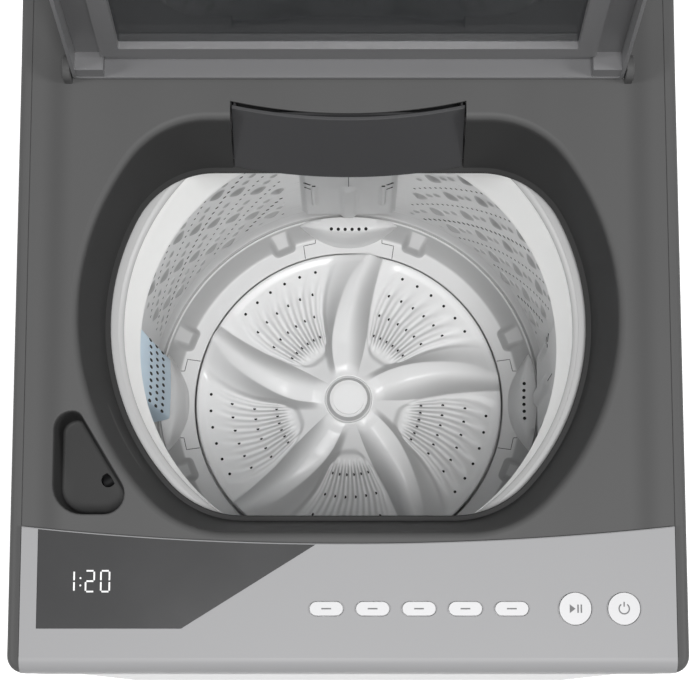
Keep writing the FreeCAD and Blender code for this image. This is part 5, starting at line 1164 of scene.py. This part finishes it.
# Parting line beside a fan cover: it starts on a circle and takes two steps outwards.
seam = {"start": (48.0, 170.0), "turns": ((50.0, 177.5), (37.0, 180.5), (37.0, 184.5)),
        "width": 0.7, "lift": 0.06, "thick": 0.3}


def floorSeams():
    # Fine stepped parting lines that follow the floor's height beside each fan cover.
    x, radius = seam["start"]
    line = np.array([(x, math.sqrt(radius ** 2 - x ** 2)), *seam["turns"]])
    fine = np.vstack([np.linspace(a, b, 6)[:-1] for a, b in zip(line, line[1:])] + [line[-1:]])
    bars = []
    for side in (-1, 1):
        x, y = (fine * (side, 1)).T
        z = floorHeight(np.hypot(x, y), np.degrees(np.arctan2(y, x)))
        bars.append(ribbon(joined(x, y), seam["width"], z + seam["lift"], seam["thick"]))
    return [(spun(points, 90 * quarter - 90), faces) for quarter in range(4)
            for points, faces in bars]


piece("drumFloor", [drumFloor()], "drum", "drumFloor", ["drum_base"], sharp=50)
piece("fanCovers", [fanCover(q) for q in range(4)], "drum", "drum",
      ["base_covers"], sharp=50)
# The cover of the third quarter lies behind the filter and has no holes.
piece("fanHoles", [fanHoles(q) for q in (0, 1, 3)], "drum", "hole")
piece("floorSeams", floorSeams(), "drum", "black")
print("drum floor made")

channel = {"angles": (0, 90, -90), "half": 51.0, "depth": 12.0, "edge": 7.0, "ends": (8.0, 6.0),
           "rib": 7.5, "ribRise": 4.0, "ribShare": 0.385, "dome": 9.5, "clipX": 36.0,
           "clipHalf": 3.2, "clipRise": 2.6, "clipFoot": (56.0, 64.0), "clipHead": (139.0, 5.0),
           # Place across and up, half diagonals and slant of each slot or painted shadow.
           "slots": ((42.5, 152, 8.0, 1.6, 1.0), (42.5, 133, 8.0, 0.8, 1.0),
                     (36.0, 142, 2.6, 3.0, 0.0), (4.0, 129, 4.5, 1.8, 0.25),
                     (0.0, 165, 0.4, 34.0, 0.0))}


def channelCover(angle):
    # Tall cover on the wall, as a depth over across and height: rounded long edges, a middle rib
    # with a domed head, two clips and tapered ends, each a smooth step.
    x, z = np.meshgrid(crowded(65) * channel["half"],
                       np.linspace(channelLow[2], channelHigh[2], 60))
    low, high = channelLow[2], channelHigh[2]
    wallLine = np.sqrt((drumRadius - 0.2) ** 2 - x ** 2)
    edge = softStep(channel["half"] - abs(x), 0.0, channel["edge"])
    ends = softStep(z - low, 0, channel["ends"][0]) * softStep(high - z, 0, channel["ends"][1])
    share = np.minimum(edge, 0.15 + 0.85 * ends)
    depth = wallLine + (drumRadius - channel["depth"] - 0.1 - wallLine) * share
    top = low + (high - low) * channel["ribShare"]
    rib = softStep(channel["rib"] + 1.5 - abs(x), 0, 3.0) * softStep(top - z, 0, 10)
    rib = np.maximum(rib, softStep(channel["dome"] - np.hypot(x, (z - top) * 0.8), 0, 5))
    clip = softStep(channel["clipHalf"] - abs(abs(x) - channel["clipX"]), 0, 1.5)
    foot, (head, soft) = channel["clipFoot"], channel["clipHead"]
    clip = clip * softStep(z, low + foot[0], low + foot[1]) * softStep(low + head - z, 0, soft)
    depth = depth - rib * channel["ribRise"] - clip * channel["clipRise"]
    return slab(spun(joined(x, depth, z), angle - 90), spun(joined(x, wallLine, z), angle - 90))


def channelSlots(angle):
    # Slanted slots and clip shadows near both long edges of a channel cover: dark square plugs
    # stretched along their slant and across it, painted shade for the slots and painted shadows for
    # the clips.
    outward = np.array([1.0, 0.0, 0.0])
    places, axes = [], []
    for side in (-1, 1):
        for x, z, length, width, slant in channel["slots"]:
            along = np.array([0.0, side * math.cos(slant), math.sin(slant)])
            axes.append([along * length, np.cross(outward, along) * width, outward])
            places.append((drumRadius - channel["depth"] - 0.15, side * x, channelLow[2] + z))
    points, faces = copied(plug(1.0, 0.3, 4, 45), np.array(places), np.array(axes))
    return spun(points, angle), faces


lint = {"half": 36.0, "footDepth": 29.0, "headDepth": 13.0, "power": 0.85, "round": 7.0,
        "crown": 1.5, "gap": 0.5, "ends": (7.0, 6.0), "rows": 10, "pitch": 6.7,
        "levels": (56.0, 96.0, 136.0), "slotX": 1.5, "slotZ": 8.0, "slotDepth": 0.35}


def filterFace(x, z):
    # Distance of the filter's face from the drum's axis: the wall's circle less a depth that goes
    # from the foot's to the head's by a power, with a crown, rounded edges and tapered ends.
    low, high = filterLow[2], filterHigh[2]
    share = between(z, low, high) ** lint["power"]
    depth = lint["footDepth"] + (lint["headDepth"] - lint["footDepth"]) * share
    line = np.sqrt((drumRadius - lint["gap"]) ** 2 - x ** 2)
    edge = softStep(abs(x), lint["half"] - lint["round"], lint["half"] + 0.4)
    edge = np.sqrt(np.clip(1 - edge ** 2, 0, 1))
    ends = softStep(z - low, 0, lint["ends"][0]) * softStep(high - z, 0, lint["ends"][1])
    crown = lint["crown"] * (1 - (x / lint["half"]) ** 2)
    return line - (depth + crown - (drumRadius - line)) * edge * (0.1 + 0.9 * ends)


def lintBasket():
    # The filter's face in front of the wall's circle.
    x, z = np.meshgrid(crowded(45) * lint["half"], np.linspace(filterLow[2], filterHigh[2], 90))
    back = np.sqrt((drumRadius - lint["gap"]) ** 2 - x ** 2)
    return slab(joined(-filterFace(x, z), x, z), joined(-back, x, z))


def lintSlots():
    # Upright long slots in three levels, each a dark plug lying on the filter's face by its two
    # slopes: painted shade in place of an opening.
    across = (np.arange(lint["rows"]) - (lint["rows"] - 1) / 2) * lint["pitch"]
    x = np.tile(across, len(lint["levels"]))
    z = filterLow[2] + np.repeat(lint["levels"], lint["rows"])
    face = -filterFace(x, z)
    upright = unit(joined(-filterFace(x, z + 1) - face, 0.0, 1.0))
    level = unit(joined(-filterFace(x + 1, z) - face, 1.0, 0.0))
    points, faces = plug(1.0, lint["slotDepth"], 10)
    return copied((points * (lint["slotX"], lint["slotZ"], 1.0), faces), joined(face, x, z),
                  np.stack([level, upright, np.cross(level, upright)], 1))


piece("channelCovers", [part for angle in channel["angles"] for part in channelCover(angle)],
      "drum", "drum", ["channel_covers"], sharp=55)
piece("channelSlots", [channelSlots(angle) for angle in channel["angles"]], "drum", "hole")
piece("lintBasket", lintBasket(), "lint_filter", "filter", ["lint_filter"],
      sharp=60)
piece("lintSlots", [lintSlots()], "lint_filter", "hole")
print("channels and filter made")

disc = {"dome": 36.0, "power": 2.2, "vanes": 5, "hubTop": 39.3, "hubRound": 60.0, "hubFoot": 8.9,
        "hubSoft": (20.0, 70.0), "skirt": 16.0, "wall": 3.0, "inner": 20.9, "hole": 1.6,
        "cap": 25.5, "seat": 1.4, "vaneStart": (22.0, 40.0), "shelfFall": 0.1, "steepPower": 1.7,
        "gentlePower": (1.3, 0.6), "pocket": 3.0, "pocketFade": (90.0, 150.0, 0.45),
        "fieldFoot": (78.0, 24.0), "fieldEnd": (156.0, 166.0), "ridge": 4.4,
        "ridgeStart": (60.0, 78.0), "ridgeEnd": (120.0, 158.0)}
discRadius = discHigh[0]
# The holes' columns in a field by radius: angles of the first and the last one.
columnRadii = np.array([55.0, 79.0, 103.0, 127.5, 151.0, 166.0])
firstColumn = np.array([66.5, 69.3, 70.7, 69.5, 66.8, 64.2])
lastColumn = np.array([43.0, 41.1, 39.4, 36.1, 32.1, 28.8])
# Plan of a vane by radius: the crest's angle, the shelf beside it, both slopes and the crest's height.
vaneRadii = np.array([28.0, 45.0, 64.0, 82.0, 104.0, 129.0, 146.0, 158.6, 166.9])
crestTurn = np.array([22.8, 21.6, 20.3, 19.0, 17.0, 14.3, 12.4, 10.9, 9.9])
shelfWidth = np.array([10.0, 14.0, 16.0, 15.0, 13.0, 11.0, 8.5, 5.0, 3.0])
gentleWidth = np.array([8.0, 9.0, 11.0, 16.0, 23.5, 33.0, 38.0, 38.0, 36.0])
steepWidth = np.array([12.0, 17.0, 21.0, 22.5, 22.0, 20.5, 19.0, 17.0, 16.0])
crestRise = np.array([3.0, 11.0, 18.0, 22.5, 25.0, 22.0, 18.0, 14.5, 12.0])


def byRadius(radius, values):
    # Smooth value at a radius: linear between the plan's radii, averaged over a few millimetres.
    return sum(np.interp(radius + step, vaneRadii, values) for step in (-9, -4.5, 0, 4.5, 9)) / 5


def dishHeight(radius):
    # Shallow bowl that rises towards the hub by a power, with a broader foot round the cap.
    bowl = disc["dome"] * np.clip(1 - radius / discRadius, 0, 1) ** disc["power"]
    return rimZ + bowl + disc["hubFoot"] * (1 - softStep(radius, *disc["hubSoft"]))


def capHeight(radius):
    # Round cap: a part of a ball.
    return rimZ + disc["hubTop"] - disc["hubRound"] + np.sqrt(disc["hubRound"] ** 2 - radius ** 2)


def discHeight(radius, turn):
    # Top face of the pulsator: the dish; five swept vanes with a steep and a gentle slope by
    # powers of the way down; recessed fields with ridges as a cosine over the holes' columns; and
    # the cap's seat.
    z = dishHeight(radius)
    period = 360.0 / disc["vanes"]
    local = (turn - byRadius(radius, crestTurn) + period / 3) % period - period / 3
    along = np.radians(local) * radius
    shelf = byRadius(radius, shelfWidth)
    steep = np.clip(-along / byRadius(radius, steepWidth), 0, 1)
    gentle = np.clip((along - shelf) / byRadius(radius, gentleWidth), 0, 1)
    power = disc["gentlePower"][0] + disc["gentlePower"][1] * gentle
    top = 1 - disc["shelfFall"] * np.clip(along / shelf, 0, 1) ** 2
    shape = np.where(along < 0, 1 - steep ** disc["steepPower"], top * (1 - gentle) ** power)
    vane = byRadius(radius, crestRise) * shape * softStep(radius, *disc["vaneStart"])
    # Column counts the holes' columns in the field between two vanes, from the steep side.
    first = np.interp(radius, columnRadii, firstColumn)
    last = np.interp(radius, columnRadii, lastColumn)
    local = (turn - (first + last) / 2 + period / 2) % period - period / 2
    column = 2.5 - local / (first - last) * 5
    foot, run = disc["fieldFoot"]
    inward = np.clip((foot - radius) / run, 0, 2)
    field = softStep(1 - np.hypot((abs(column - 2.5) / 3.5) ** 1.6, inward), -0.1, 0.2)
    field = field * (1 - softStep(radius, *disc["fieldEnd"]))
    ridges = np.cos(2 * np.pi * (column - 0.5)) * 0.5 + 0.5
    strength = softStep(radius, *disc["ridgeStart"]) * (1 - softStep(radius, *disc["ridgeEnd"]))
    inField = softStep(column, -0.9, -0.2) * softStep(5.9 - column, 0, 0.7)
    fadeStart, fadeEnd, fade = disc["pocketFade"]
    pocket = disc["pocket"] * (1 - fade * softStep(radius, fadeStart, fadeEnd))
    z = z + vane * (1 - field) - field * pocket + ridges * strength * inField * disc["ridge"]
    seat = capHeight(np.minimum(radius, disc["cap"])) - disc["seat"]
    return seat + (z - seat) * softStep(radius, disc["cap"] - 1.0, disc["cap"] + 1.2)


def pulsatorDisc():
    # Upper face from the cap's seat to the rim, skirt, and a plain underside below the dish. The
    # rim's soft edge keeps what is left of the vanes' height there.
    turn = np.linspace(0, 360, 720, endpoint=False)
    inner, wallIn = disc["inner"], discRadius - disc["wall"]
    radii = np.concatenate([[inner], np.linspace(inner, 24, 3), np.linspace(24.5, 27.5, 9),
                            np.linspace(29, 163.5, 92)])
    heights = list(discHeight(radii[:, None], turn))
    heights[0] = heights[1] - 3.0
    rows = list(zip(radii, heights))
    lift = np.maximum(discHeight(165.0, turn) - rimZ, 0)
    for i, (inset, drop) in enumerate(((1.6, 0.25), (0.5, 0.9), (0.0, 2.2), (0.0, disc["skirt"]),
                                       (disc["wall"], disc["skirt"]))):
        rows.append((discRadius - inset, rimZ - drop + lift * max(1 - i / 3, 0)))
    rows += [(radius, dishHeight(radius) - depth)
             for radius, depth in ((wallIn, 6.0), (120.0, 7.5), (60.0, 7.5), (inner, 7.5))]
    return surface(np.array([polar(radius, np.radians(turn), z) for radius, z in rows]), True, True)


def discHoles():
    # Holes of the five fields: four arcs of six, each a small dark disc lying on the surface by its
    # two slopes there, painted shade in place of an opening.
    first, last = firstColumn[1:5], lastColumn[1:5]
    turns = np.concatenate([np.linspace(a, b, 6) for a, b in zip(first, last)])
    radius = np.tile(np.repeat(columnRadii[1:5], 6), disc["vanes"])
    turn = np.concatenate([turns + 360.0 / disc["vanes"] * i for i in range(disc["vanes"])])
    z = discHeight(radius, turn)
    angle = np.radians(turn)
    sideSlope = (discHeight(radius, turn + 1) - z) / np.radians(radius)
    out = unit(polar(1.0, angle, discHeight(radius + 1, turn) - z))
    upright = unit(np.cross(out, joined(-np.sin(angle), np.cos(angle), sideSlope)))
    return copied(plug(disc["hole"], 0.35, 12), polar(radius, angle, z + 0.05),
                  np.stack([out, np.cross(upright, out), upright], 1))


def capDome():
    # Domed cap that carries on the hub's curve, with a small rounded edge and a spigot below.
    radius, low, neck = disc["cap"], boxOf("pulsator_cap")[0][2], disc["inner"]
    edge = float(capHeight(radius))
    share = np.linspace(0.97, 0, 16)
    return turned(np.vstack([
        [(0.0, low + 4), (neck - 4, low + 4), (neck - 4, low), (neck - 0.5, low),
         (neck - 0.5, low + 3)],
        [(radius - 0.4, edge - 1.6), (radius, edge - 1.0), (radius - 0.15, edge - 0.35)],
        joined(radius * share, capHeight(radius * share))]), 96)


piece("pulsatorDisc", [pulsatorDisc()], "pulsator", "pulsator", ["pulsator"],
      sharp=60)
piece("pulsatorHoles", [discHoles()], "pulsator", "hole")
piece("pulsatorCapDome", [capDome()], "pulsator", "pulsator", ["pulsator_cap"])
print("pulsator made")
